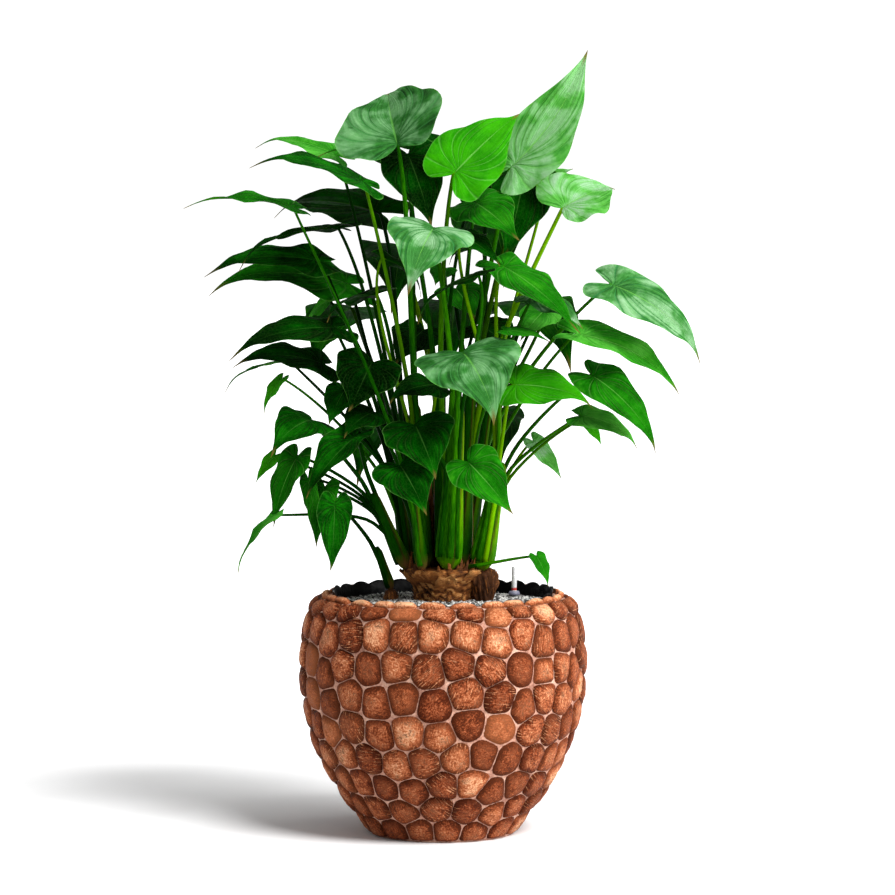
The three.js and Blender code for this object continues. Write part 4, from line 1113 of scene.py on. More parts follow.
@dataclass
class Leaf:
    """One leaf: a heart-shaped blade on a stalk that leaves its shoot's sheath."""

    shoot: str
    joint: np.ndarray
    tip: np.ndarray
    width: float
    face: np.ndarray
    bend: Bend
    tone: Tone
    seed: int
    start: float = 0.5
    along: np.ndarray = field(init=False)
    up: np.ndarray = field(init=False)
    across: np.ndarray = field(init=False)
    length: float = field(init=False)

    def __post_init__(self) -> None:
        """Works out the blade's own directions: from stalk to tip, out of its upper face, and across."""
        self.along = unit(self.tip - self.joint)
        self.length = float(np.linalg.norm(self.tip - self.joint))
        self.up = unit(self.face - self.along * np.dot(self.face, self.along))
        self.across = np.cross(self.up, self.along)

    def middle(self, t: np.ndarray, s: np.ndarray) -> np.ndarray:
        """Points of the blade's middle surface.

        The outline point at t is met from the midrib point at t squared by going along |s| to the
        power 1.6, so lines of one s sweep from the stalk through a lobe to the tip. The surface is
        then arched, folded, cupped, curled, waved and twisted, and pillowed between the veins.

        Args:
            t: (rows, 1) from the stalk, 0, round the edge to the tip, 1.
            s: (1, columns) from one edge, -1, over the midrib to the other, 1.

        Returns:
            (rows, columns, 3) points.
        """
        bend, length = self.bend, self.length
        edge = smooth_curve(BLADE_EDGE, t.ravel())
        reach = np.abs(s)
        x = t * t + (edge[:, :1] - t * t) * reach ** 1.6
        side = np.where(s > 0, 2.0, 0.0)
        frill = 1 + bend.frill * reach ** 3 * np.sin(t * 24 + self.seed * 1.7 + side) * ease(t, 0.1, 0.3)
        y = edge[:, 1:] * s * frill * (self.width / 2 / length)
        held = np.clip(x, -0.2, 1)
        tip_share = np.maximum(0, (x - 0.7) / 0.3)
        wave = bend.wave * reach ** 2 * np.sin(t * 17 + self.seed + side)
        wave = wave + bend.ripple * reach ** 3 * np.sin(t * 27 + self.seed * 2.3 + side)
        rest = bend.fold * np.abs(y) - bend.cup * y * y * 4 * length / self.width
        rest = rest - bend.curl * tip_share ** 2 + wave * edge[:, 1:] + self.pillow(t, reach)
        base = bend.arch * 4 * held * (1 - held)
        turn = bend.twist * held * held
        drip = np.maximum(0, (x - 0.84) / 0.16) ** 2 * (float(draw(self.seed + 70)) - 0.5)
        away = bend.sweep * 4 * held * (1 - held) + bend.drip * drip
        crossed = y * np.cos(turn) - rest * np.sin(turn) + away
        lifted = y * np.sin(turn) + rest * np.cos(turn) + base
        parts = zip((x, crossed, lifted), (self.along, self.across, self.up))
        return self.joint + length * sum(share[..., None] * direction for share, direction in parts)

    def pillow(self, t: np.ndarray, reach: np.ndarray) -> np.ndarray:
        """Lift between neighbouring veins, as a share of the length: a low sine bump in each gap.

        Args:
            t: (rows, 1) shares along the outline.
            reach: (1, columns) shares from the midrib to the edge.

        Returns:
            (rows, columns) lifts.
        """
        run = VEIN_START + (1 - VEIN_START) * reach ** VEIN_BEND
        share = np.interp(t / run, (0.0, *VEINS, 1.0), np.arange(len(VEINS) + 2))
        ends = ease(t, 0.0, 0.2) * (1 - ease(t, 0.75, 1.0)) * ease(reach, 0.0, 0.25)
        lift = PILLOW * np.abs(np.sin(np.pi * share)) * ends
        return lift * min(1.0, self.width / 90) * 110 / (self.length + 50)

    def columns(self) -> np.ndarray:
        """Places across the blade, closer together beside the midrib and the edge.

        Returns:
            (n,) shares from one edge, -1, to the other, 1.
        """
        count = (10, 15, 20)[self.grade()]
        share = np.linspace(0, 1, count + 1)
        half = share + 0.1 * np.sin(share * math.tau) / math.tau - 0.35 * share * (1 - share) * (1 - share)
        return np.concatenate([-half[:0:-1], half])

    def grade(self) -> int:
        """How finely the blade is cut: 2 for a large one, 0 for a small one."""
        return int(self.width >= 48) + int(self.width >= 76)

    def build(self, shell: Shell) -> None:
        """Adds the blade: pillowed above, ribbed below, thin at its border.

        Args:
            shell: receives the blade, its upper face in the first slot and the lower in the second.
        """
        t = np.linspace(0.05, 0.985, (17, 26, 36)[self.grade()])[:, None]
        s = self.columns()[None, :]
        middle = self.middle(t, s)
        border = 1 - np.abs(s) ** 8
        midrib = (np.abs(s) < 1e-9) * (1 - t)
        rise = 0.45 * border * np.ones_like(t) - 0.35 * midrib
        drop = 0.45 * border * np.ones_like(t) + midrib * 1.5
        tone = np.array((*self.tone.value, float(draw(self.seed + 900))))
        ends = np.stack([self.joint, self.middle(np.ones((1, 1)), np.zeros((1, 1)))[0, 0]])
        shell.sheet(middle, rise, drop, tone, layers(t, (s + 1) / 2), ends, dress=(0, 1))


@dataclass
class Sheath:
    """The stout foot of a shoot: stalk bases rolled round each other, open at the front."""

    name: str
    foot: np.ndarray
    top: np.ndarray
    foot_radius: float
    top_radius: float

    def radius(self, share: np.ndarray) -> np.ndarray:
        """Radius at shares of the height: rounded below, slimmer upwards.

        Args:
            share: shares of the height.

        Returns:
            The radii, as many.
        """
        thin = self.top_radius / self.foot_radius
        sizes = np.array([0.72, 0.97, 1, 1 + (thin - 1) * 0.55, thin])
        return np.interp(share, [0, 0.05, 0.14, 0.5, 1], sizes) * self.foot_radius

    def axis(self, share: np.ndarray) -> np.ndarray:
        """Points of the axis at shares of the height."""
        return self.foot + np.asarray(share)[..., None] * (self.top - self.foot)

    def build(self, shell: Shell) -> None:
        """Adds the sheath: a ribbed body with one margin lapped over the other, painted shade in the fold.

        Args:
            shell: receives the body.
        """
        tall = float(np.linalg.norm(self.top - self.foot))
        rows = max(10, int(tall / 8))
        sides = 48 if self.foot_radius > 9 else 28
        share = np.linspace(-5.0 / tall, 1.0, rows)[:, None]
        angle = circle(sides)
        front = -math.pi / 2 + 0.9 * float(draw(len(self.name) + 40)) - 0.45 + 1.1 * share
        apart = (angle - front + math.pi) % math.tau - math.pi
        lap = ease(apart, -0.14, 0.0) * (1 - ease(apart, 0.0, 1.9))
        open_share = ease(share, 0.05, 0.5)
        ribs = 0.012 * np.sin(angle * 16 + share * 5) + 0.02 * np.sin(angle * 5 + share * 9)
        bulb = np.sqrt(np.clip((share * tall + 5) / 14, 0.05, 1))
        lapped = 0.93 + 0.13 * lap * (0.5 + open_share) + ribs
        radius = self.radius(np.clip(share, 0, 1)) * bulb * lapped
        radius = radius * (1 - 0.45 * np.clip((share - 0.96) / 0.04, 0, 1))
        out = unit(self.top - self.foot)
        side = unit(np.cross((0.0, 1.0, 0.0), out))
        grid = round_path(self.axis(share[:, 0]), side[None], np.cross(out, side)[None], radius, angle)
        # Painted shade in the fold under the lapped margin; painted light on the flank towards the right
        # front.
        fold = ease(apart, -0.35, -0.02) * (1 - ease(apart, 0.0, 0.02))
        bright = 1.0 if self.foot_radius > 12 else 0.35
        painted_light_side = ease(np.cos(apart - 1.2), 0.2, 1.0)
        light = 0.14 + bright * (0.26 + 0.2 * painted_light_side) - 0.3 * fold + 0.12 * share * bright
        low = 1 - ease(share * tall, 4, 22)
        lime = bright * 0.4 * (ease(lap, 0.5, 1.0) * open_share + 0.5 * low)
        brown = (1.3 - 0.5 * bright) * (1 - ease(share * tall, -2, 30 - 24 * bright)) + 0.3 * fold
        chart = layers(share * tall / 40, angle / math.tau * 3)
        shell.rings(grid, layers(light, lime, brown, 3.0), chart)

    def stalk(self, leaf: Leaf) -> tuple[np.ndarray, np.ndarray]:
        """Follows a leaf's stalk from its blade to the sheath and down its side as a rib.

        The free part is a cubic that leaves the sheath half along it and half straight at the leaf;
        its last quarter is moved out to the sheath's side, where the stalk goes on downwards.

        Args:
            leaf: the leaf.

        Returns:
            (n, 3) points and (n,) radii.
        """
        out = unit(self.top - self.foot)
        start = self.axis(leaf.start)
        reach = float(np.linalg.norm(leaf.joint - start))
        straight = (leaf.joint - start) / reach
        leave = out * STALK_UPRIGHT + straight * (1 - STALK_UPRIGHT)
        arrive = unit(straight * 0.75 + leaf.up * 0.45 + leaf.along * 0.3)
        near, far = leaf.joint - arrive * reach * 0.22, start + leave * reach * 0.35
        u = np.linspace(0, 1, max(14, int(reach / 12)))[:, None]
        free = (1 - u) ** 3 * leaf.joint + 3 * (1 - u) ** 2 * u * near
        free = free + 3 * (1 - u) * u * u * far + u ** 3 * start
        thick = 1.9 + 1.5 * min(1.0, leaf.width / 120)
        away = unit(straight - out * np.dot(straight, out) + 0.02 * leaf.along)
        held = self.radius(leaf.start) - thick * 0.7
        free = free + away * held * ease(u, 0.72, 1.0)
        down = np.linspace(leaf.start, 0.08, 14)[1:]
        low = self.axis(down) + away * (self.radius(down) - thick * 0.75)[:, None]
        radii = np.concatenate([thick * (0.8 + 0.55 * u[:, 0]), thick * (1.35 + 0.2 * (leaf.start - down))])
        return np.concatenate([free, low]), radii

    def add_stalk(self, shell: Shell, leaf: Leaf) -> None:
        """Adds a stalk; it starts a little way along the midrib and is channelled on its upper side.

        Stalks are painted darker at the back and the left, as shade, and painted lighter and yellower at
        the high right, as the sun that reaches them.

        Args:
            shell: receives the stalk.
            leaf: the leaf that it carries.
        """
        path, radii = self.stalk(leaf)
        near = leaf.middle(np.array([[0.14], [0.3]]), np.zeros((1, 1)))[:, 0]
        run = near - leaf.up * np.array([[radii[0] * 0.35], [radii[0] * 0.25]])
        path = np.concatenate([run[::-1], path])
        path[2] = path[2] - leaf.up * radii[0] * 0.3
        radii = np.concatenate([[radii[0] * 0.3, radii[0] * 0.62], radii])
        angle = circle(10)
        channel = 1 - 0.12 * (np.abs(np.sin(angle)) > 0.9)
        grid = round_path(path, *carried_sides(path, leaf.across), radii[:, None] * channel, angle)
        share = np.linspace(0, 1, len(path))[:, None]
        chance = float(draw(leaf.seed + 400))
        x, y, z = leaf.joint
        # Painted shade at the back and the left, painted sunlight at the high right.
        left = ease(-x, 50.0, 150.0)
        shade = 0.3 * ease(y, -20.0, 60.0) + 0.2 * left
        lit = ease(x, 100.0, 150.0) * ease(z, 840.0, 880.0)
        light = leaf.tone.value[0] * 0.3 + 0.1 + 0.32 * chance - shade * (1 - lit) + 0.2 * lit
        light = light - 0.08 * np.sin(share * 9 + leaf.seed)
        lime = (0.3 * (chance > 0.8) + 0.1 * leaf.tone.value[1]) * (1 - left) + 0.4 * lit
        tone = layers(light, lime, 0.0, np.full((1, len(angle)), draw(leaf.seed) * 9))
        lengths = np.cumsum(np.linalg.norm(np.diff(path, axis=0, prepend=path[:1]), axis=1))
        shell.rings(grid, tone, layers(lengths[:, None] / 40, angle / math.tau))


class Foliage:
    """All shoots: blades in one piece and stalks with their sheath in another for each shoot."""

    def __init__(self) -> None:
        """Reads the tables and gives each leaf its place on the sheath by the height of its joint."""
        self.sheaths = [
            Sheath(name, np.array(foot, float), np.array(top, float), low, high)
            for name, foot, top, low, high in SHOOTS
        ]
        self.leaves = [self.leaf(index, *row) for index, row in enumerate(LEAVES)]
        for sheath in self.sheaths:
            own = sorted(self.own(sheath), key=lambda leaf: leaf.joint[2])
            for rank, leaf in enumerate(own):
                leaf.start = SHEATH_OPENS + (0.96 - SHEATH_OPENS) * (rank + 0.5) / len(own)

    @staticmethod
    def place(seen: tuple[float, float, float]) -> np.ndarray:
        """Moves a point as seen from the front to its true place at its depth.

        Args:
            seen: across, up and depth, in the plane of the planter's axis.

        Returns:
            (3,) the point.
        """
        across, up, depth = seen
        grow = (VIEW_DISTANCE + depth) / VIEW_DISTANCE
        return np.array([across * grow, depth, VIEW_HEIGHT + (up - VIEW_HEIGHT) * grow])

    def leaf(self, index: int, shoot: str, joint: tuple, tip: tuple, width: float, face: tuple, bend: str,
             tone: Tone, extra: dict[str, float] | None = None) -> Leaf:
        """Makes a leaf from a row of the table.

        Args:
            index: the row's number, which seeds what varies from leaf to leaf.
            shoot: name of its shoot.
            joint: where stalk and blade meet, as seen.
            tip: the blade's tip, as seen.
            width: the blade's width.
            face: direction that its upper face looks.
            bend: name of its bend.
            tone: its tone.
            extra: parts of the bend that differ.

        Returns:
            The leaf.
        """
        shape = replace(BENDS[bend], **(extra or {}))
        towards = np.array(face, float)
        return Leaf(shoot, self.place(joint), self.place(tip), width, towards, shape, tone, index)

    def own(self, sheath: Sheath) -> list[Leaf]:
        """The leaves of one shoot."""
        return [leaf for leaf in self.leaves if leaf.shoot == sheath.name]

    def build(self) -> None:
        """Makes the pieces of every shoot."""
        faces = [UPPER_FACE.material(), UNDER_FACE.material()]
        green = [stalk_material()]
        for sheath in self.sheaths:
            node_name = "shoot_" + sheath.name
            blades, stalks = Shell(), Shell()
            sheath.build(stalks)
            for leaf in self.own(sheath):
                leaf.build(blades)
                sheath.add_stalk(stalks, leaf)
            blades.piece(sheath.name + "_blades", faces, node_name, "leaf")
            stalks.piece(sheath.name + "_stalks", green, node_name, "leaf")


# Planter


@dataclass
class Planter:
    """A round planter: a cast wall faced with coconut-shell tiles set in grout.

    The tiles are laid out in a plan, angle across and height up, that keeps their form: one unit of
    it is the wall's radius at that height. Each rim tile is rim_radius out.
    """

    rows: int = 9
    tile_width: float = 42.5
    jitter: float = 0.4
    rounds: int = 3
    soft: float = 9.0
    rise: float = 7.0
    grout_sunk: float = 4.8
    grout_width: float = 0.5
    around: int = 30
    rim_tiles: int = 27
    rim_radius: float = 165.0
    rim_height: float = 12.0
    wall_sides: int = 320
    wall_rows: int = 150

    def __post_init__(self) -> None:
        """Measures the profile: length along it, and height in a flat plan where tiles keep their form."""
        steps = np.linalg.norm(np.diff(POT_PROFILE, axis=0), axis=1)
        means = (POT_PROFILE[1:, 0] + POT_PROFILE[:-1, 0]) / 2
        self.lengths = np.concatenate([[0], np.cumsum(steps)])
        self.heights = np.concatenate([[0], np.cumsum(steps / means)])
        self.plan_top = float(self.heights[-1])
        self.face_top = self.plan_top - self.rim_height / self.rim_radius
        self.angle = circle(self.around)
        self.way = layers(np.cos(self.angle), np.sin(self.angle))

    def on_face(self, angle: np.ndarray, height: np.ndarray, sunk: np.ndarray) -> np.ndarray:
        """Points of the planter's face from the plan, moved inwards along the normal by a depth.

        Args:
            angle: angles about the axis.
            height: heights in the plan.
            sunk: depths below the face.

        Returns:
            The points, one for each place.
        """
        knots = np.interp(height, self.heights, np.arange(len(self.heights))) / (len(self.heights) - 1)
        knots, angle, sunk = np.broadcast_arrays(knots, angle, sunk)
        shape = knots.shape
        here = smooth_curve(POT_PROFILE, knots.ravel())
        ahead = smooth_curve(POT_PROFILE, np.clip(knots.ravel() + 1e-3, 0, 1))
        behind = smooth_curve(POT_PROFILE, np.clip(knots.ravel() - 1e-3, 0, 1))
        slope = unit(ahead - behind)
        radius = here[:, 0].reshape(shape) - sunk * slope[:, 1].reshape(shape)
        z = np.maximum(0, here[:, 1].reshape(shape) + sunk * slope[:, 0].reshape(shape))
        return layers(radius * np.cos(angle), radius * np.sin(angle), z)

    def centres(self) -> np.ndarray:
        """Tile centres in the plan: rows shifted by a seeded draw, then moved to the middle of their cell.

        Returns:
            (n, 2) centres.
        """
        found = []
        for row in range(self.rows):
            length = (row + 0.5) / self.rows * self.lengths[-1]
            radius = np.interp(length, self.lengths, POT_PROFILE[:, 0])
            height = np.interp(length, self.lengths, self.heights)
            count = round(math.tau * radius / self.tile_width)
            key = row * 100 + np.arange(count)
            turn = (np.arange(count) + row % 2 * 0.5 + (draw(key) - 0.5) * 2 * self.jitter) / count
            lift = (draw(key + 5000) - 0.5) * 2 * self.jitter * self.lengths[-1] / self.rows / radius
            found.append(layers(turn * math.tau, height + lift))
        centres = np.concatenate(found)
        angle = circle(180)
        way = layers(np.cos(angle), np.sin(angle))
        for _ in range(self.rounds):
            others = self.with_copies(centres)
            moved = [self.cell(centre, centre, others, way, 0.0, self.plan_top) for centre in centres]
            shift = [(reach[:, None] ** 3 * way).sum(axis=0) / (reach ** 2).sum() * 2 / 3 for reach in moved]
            centres = centres + np.array(shift)
        return centres

    @staticmethod
    def with_copies(centres: np.ndarray) -> np.ndarray:
        """The centres, with copies one turn to each side."""
        shift = np.array([math.tau, 0.0])
        return np.concatenate([centres - shift, centres, centres + shift])

    @staticmethod
    def cell(centre: np.ndarray, middle: np.ndarray, others: np.ndarray, way: np.ndarray, inset: float,
             top: float, soft: float | None = None) -> np.ndarray:
        """Reach of a tile's cell, which is bounded by the lines midway to its neighbours.

        Args:
            centre: the tile's centre in the plan.
            middle: the point of the plan from which the reach is measured.
            others: all centres, with copies one turn to each side.
            way: (n, 2) directions in the plan.
            inset: how far each line is moved in.
            top: upper bound of the plan for this tile.
            soft: power that rounds the corners; none for sharp ones.

        Returns:
            (n,) reach in each direction.
        """
        apart = others - centre
        gap = np.linalg.norm(apart, axis=1)
        near = (gap > 1e-9) & (gap < 1.4)
        lines = apart[near] / gap[near][:, None]
        half = gap[near] / 2 - inset - lines @ (middle - centre)
        lines = np.concatenate([lines, [[0, 1], [0, -1]]])
        half = np.maximum(np.concatenate([half, [top - middle[1], middle[1]]]), 0.004)
        pressed = np.maximum(1e-9, way @ lines.T / half)
        if soft is None:
            return 1 / pressed.max(axis=1)
        return (pressed ** soft).sum(axis=1) ** (-1 / soft)

    def add_tile(self, shell: Shell, number: int, centre: np.ndarray, others: np.ndarray) -> None:
        """Adds one tile of the face, a rounded polygon a grout's width from its neighbours.

        Args:
            shell: receives the tile.
            number: picks what the tile's dome draws.
            centre: its centre in the plan.
            others: all centres, with copies one turn to each side.
        """
        radius = float(np.interp(centre[1], self.heights, POT_PROFILE[:, 0]))
        inset = self.grout_width / 2 / radius
        reach = self.cell(centre, centre, others, self.way, inset, self.face_top, self.soft)
        middle = centre + (reach[:, None] * self.way).mean(axis=0) * 0.8
        reach = self.cell(centre, middle, others, self.way, inset, self.face_top, self.soft)
        self.dome(shell, number, middle, reach, radius)

    def add_rim_tile(self, shell: Shell, number: int) -> None:
        """Adds one of the flat tiles round the top of the rim, lighter, partly as painted light on its upper
        face.

        Args:
            shell: receives the tile.
            number: its place round the rim.
        """
        shift = (draw(number + 2000) - 0.5) * 0.3
        turn = (number + shift) / self.rim_tiles * math.tau
        wide = math.pi / self.rim_tiles * (0.98 + 0.14 * (draw(number + 2100) - 0.5))
        low, high = self.face_top + 2.0 / self.rim_radius, self.plan_top + 0.02
        middle = np.array([turn, (low + high) / 2])
        tall = (high - low) / 2
        pressed = np.abs(self.way / np.array([wide, tall])) ** 3
        reach = (pressed[:, 0] + pressed[:, 1]) ** (-1 / 3)
        self.dome(shell, number + 500, middle, reach, self.rim_radius, on_rim=True)

    def dome(self, shell: Shell, number: int, middle: np.ndarray, reach: np.ndarray, radius: float,
             on_rim: bool = False) -> None:
        """Adds a tile's body: a low dome with rolled edges, closed below within the grout.

        Args:
            shell: receives the tile.
            number: picks the tile's own lean, lumps, grain and colour.
            middle: its middle in the plan.
            reach: (around,) its reach in the plan.
            radius: millimetres to one unit of the plan.
            on_rim: whether it lies on the rim, lighter, partly by painted light, and rising towards the
                inside.
        """
        rho = np.array([0.02, 0.3, 0.52, 0.68, 0.8, 0.89, 0.95, 0.98, 0.995, 1.0])[:, None]
        plan = middle + (rho * reach)[..., None] * self.way
        local = (plan - middle) * radius
        chance = draw(np.array([number, number + 300, number + 600, number + 900, number + 1200]))
        lean = (chance[:2] - 0.5) * 0.09
        uneven = 0.7 * lumps(layers(local[..., 0], local[..., 1], number * 31.0), 30, 5)
        crown = self.rise * (1 - rho ** 2.3) ** 0.42
        sunk = self.rise - crown - local @ lean * (1 - rho ** 3) + uneven * (1 - rho ** 6) - chance[2] * 2.4
        sunk = sunk - 2.2 * (1 - rho ** 2) if on_rim else sunk
        top = self.on_face(plan[..., 0], plan[..., 1], np.clip(sunk, -2.6, self.rise))
        under = self.on_face(plan[-1:, :, 0], plan[-1:, :, 1], self.rise + 1.6)
        grain = chance[3] * math.pi
        with_grain = local[..., 0] * math.cos(grain) + local[..., 1] * math.sin(grain)
        over_grain = local[..., 1] * math.cos(grain) - local[..., 0] * math.sin(grain)
        chart = layers(with_grain, over_grain) / 20
        # Painted highlight on the middle of each dome, much stronger on some tiles.
        painted_dome_highlight = (1 - rho ** 2) * (0.15 + 0.28 * (chance[0] > 0.72))
        # Rim tiles are lighter, partly their own tone and partly painted light on their upward faces.
        light = 0.16 + 0.34 * chance[4] ** 1.5 + painted_dome_highlight + (0.46 if on_rim else 0.0)
        orange = 0.5 if on_rim else 0.3 * chance[0] + 0.7 * (chance[1] > 0.95)
        tone = layers(light, orange, rho, np.full((1, self.around), chance[2]))
        parts = [np.concatenate([part[-1:], part[::-1]]) for part in (tone, chart)]
        shell.rings(np.concatenate([under, top[::-1]]), *parts)

    def wall(self) -> None:
        """Makes the cast wall: rough grout outside, a rim and a plain inside."""
        angle = circle(self.wall_sides)
        height = np.linspace(0, self.plan_top, self.wall_rows)[:, None]
        flat = self.on_face(angle, height, self.grout_sunk)
        rough = 0.35 * lumps(flat, 14, 11) + 0.25 * lumps(flat, 4, 12, 2)
        outside = self.on_face(angle, height, self.grout_sunk + rough)
        outside[0, :, 2] = 0.0
        rim = turned([(331.0, 158.5), (330.4, 156.6)], self.wall_sides)
        inside = turned(spread(POT_INSIDE, 20), self.wall_sides)
        shell = Shell()
        shell.rings(np.concatenate([outside, rim, inside]), np.zeros(4))
        shell.piece("planter_wall", [grout_material()], "planter", "tile")

    def build(self) -> None:
        """Makes the wall with its grout, and all tiles."""
        self.wall()
        tiles = Shell()
        centres = self.centres()
        others = self.with_copies(centres)
        for number, centre in enumerate(centres):
            self.add_tile(tiles, number, centre, others)
        for number in range(self.rim_tiles):
            self.add_rim_tile(tiles, number)
        tiles.piece("planter_tiles", [tile_material()], "planter", "tile")


@dataclass
class Liner:
    """A thin black liner in the planter, with a loose scalloped lip gathered at the right."""

    sides: int = 288
    lip_foot: float = 331.0
    lip_radius: float = 152.9
    scallops: float = 13.5

    def build(self) -> None:
        """Makes the liner: a thin bowl whose lip waves in height and leans outwards."""
        angle = circle(self.sides)
        ring = layers(np.cos(angle), np.sin(angle), 0.0) * 152
        gather = np.exp(-((((angle - 0.2) + math.pi) % math.tau - math.pi) / 0.35) ** 2)
        scallop = np.abs(np.sin(angle * self.scallops)) ** 0.7
        back = ease(np.sin(angle), -0.75, -0.1)
        top = 331.3 + back * (5.2 + 5.4 * scallop + 0.5 * lumps(ring, 60, 4, 2))
        top = top + gather * (1.0 + 0.8 * np.sin(angle * 33))
        lean = 1.2 + 0.8 * lumps(ring, 45, 6, 2) + gather * 1.0 * np.sin(angle * 27)
        lip = []
        for share, thin in ((0.35, 0), (0.7, 0), (1.0, 0), (1.0, 0.9), (0.7, 1.2), (0.35, 1.4)):
            radius = self.lip_radius + np.clip(lean, -0.8, 5) * share - thin
            height = self.lip_foot + (top - self.lip_foot) * share
            lip.append(layers(radius * np.cos(angle), radius * np.sin(angle), height))
        outside = [(22.4, 97), (80, 126.5), (140, 152.3), (250, 152.3), (326, 152.3), (331, 152.6)]
        inside = [(331, 151.2), (326, 150.8), (250, 150.3), (140, 150.3), (80, 124.5), (24.4, 95)]
        shell = Shell()
        skins = [turned(outside, self.sides), np.array(lip), turned(inside, self.sides)]
        shell.rings(np.concatenate(skins), np.zeros(4))
        shell.piece("liner_film", [liner_material()], "liner", "liner")


@dataclass
class Grit:
    """Mineral grit that fills the planter: a bed with loose grains lying on it.

    The shades are lightnesses of the grains, and the shares say how many grains have each. The bed
    lies sunk below the grit's nominal top, where the grains are.
    """

    grains: int = 6400
    seed: int = 21
    sunk: float = 2.2
    scatter: float = 0.7
    smallest: float = 1.3
    largest: float = 2.6
    shades: tuple[float, ...] = (0.98, 0.85, 0.62, 0.42, 0.22, 0.06)
    shares: tuple[float, ...] = (0.2, 0.18, 0.2, 0.16, 0.15, 0.11)

    def top(self, radius: np.ndarray) -> np.ndarray:
        """Height of the bed at distances from the axis, crowned towards the middle."""
        share = np.clip(radius / GRIT_RADIUS, 0, 1)
        return GRIT_TOP + GRIT_CROWN * (1 - share ** 2) - self.sunk

    def bed(self, material: Material) -> None:
        """Makes the bed, a filled body with a crowned top."""
        shell = Shell()
        radii = np.array([GRIT_RADIUS, 120, 90, 60, 30, 8])
        rings = [(24.8, 94.6), (80, 124), (140, 149.9), (300, 149.9), *zip(self.top(radii), radii)]
        shell.rings(turned(rings, 128), np.array([0.3, 0.2, 0, 0]))
        shell.piece("grit_bed", [material], "grit", "grit")

    def places(self, random: np.random.Generator) -> np.ndarray:
        """Places of the grains: a sunflower's spiral, scattered, without those inside other things.

        Args:
            random: the seeded source of chance.

        Returns:
            (n, 2) places.
        """
        number = np.arange(self.grains)
        radius = np.sqrt((number + 0.5) / self.grains) * (GRIT_RADIUS - 1.6)
        turn = number * 2.39996 + random.normal(0, 0.02, self.grains)
        x = radius * np.cos(turn) + random.normal(0, self.scatter, self.grains)
        y = radius * np.sin(turn) + random.normal(0, self.scatter, self.grains)
        free = np.hypot(x, y) < GRIT_RADIUS - 1.2
        taken = ((STOCK_CENTRE, 41), (RIGHT_STUMP, 13), (OFFSET_STOCK, 11), (GAUGE_PLACE, 9.5))
        for (cx, cy), reach in taken:
            free &= np.hypot(x - cx, y - cy) >= reach
        return layers(x[free], y[free])

    def build(self) -> None:
        """Makes the bed and its grains, faceted, turned and stretched at random, and partly sunk."""
        material = grit_material()
        self.bed(material)
        random = np.random.default_rng(self.seed)
        x, y = self.places(random).T
        count = len(x)
        size = random.uniform(self.smallest, self.largest, count)
        z = self.top(np.hypot(x, y)) + size * random.uniform(0.1, 0.85, count)
        corners, faces = self.icosahedron()
        frames = np.linalg.qr(random.normal(size=(count, 3, 3)))[0]
        stretch = random.uniform(0.65, 1.2, (count, 1, 3))
        ragged = random.uniform(0.82, 1.14, (count, 12, 1))
        points = (corners[None] * ragged * stretch) @ frames * size[:, None, None]
        points = points + layers(x, y, z)[:, None, :]
        light = random.choice(self.shades, count, p=self.shares)
        tone = layers(light + random.normal(0, 0.04, count), random.uniform(0, 0.6, count) ** 2, 0.0,
                      random.uniform(0, 1, count))
        grains = Shell()
        first = grains.add(points.reshape(-1, 3), np.repeat(tone, 12, axis=0))
        mirrored = np.linalg.det(frames) < 0
        base = np.where(mirrored[:, None, None], faces[None, :, ::-1], faces[None])
        triangles = first + base + (np.arange(count) * 12)[:, None, None]
        grains.face(np.zeros((0, 4), dtype=int), triangles.reshape(-1, 3))
        grains.piece("grit_grains", [material], "grit", "grit", smooth=False)

    @staticmethod
    def icosahedron() -> tuple[np.ndarray, np.ndarray]:
        """Twelve corners on three golden rectangles; every three of them one edge apart are a face.

        Returns:
            (12, 3) corners at distance one and (20, 3) corner numbers, wound outwards.
        """
        golden = (1 + math.sqrt(5)) / 2
        corners = np.array([(a * 1.0, b * golden, 0) for a in (-1, 1) for b in (-1, 1)])
        corners = unit(np.concatenate([np.roll(corners, k, axis=1) for k in range(3)]))
        apart = np.linalg.norm(corners[:, None] - corners[None], axis=-1)
        edge = apart[apart > 1e-6].min() * 1.01
        a, b, c = np.meshgrid(np.arange(12), np.arange(12), np.arange(12), indexing="ij")
        near = (a < b) & (b < c) & (apart[a, b] < edge) & (apart[b, c] < edge) & (apart[a, c] < edge)
        faces = layers(a[near], b[near], c[near])
        p, q, r = (corners[faces[:, k]] for k in range(3))
        inwards = np.einsum("ij,ij->i", np.cross(q - p, r - p), p + q + r) < 0
        return corners, np.where(inwards[:, None], faces[:, ::-1], faces)


# Rootstock


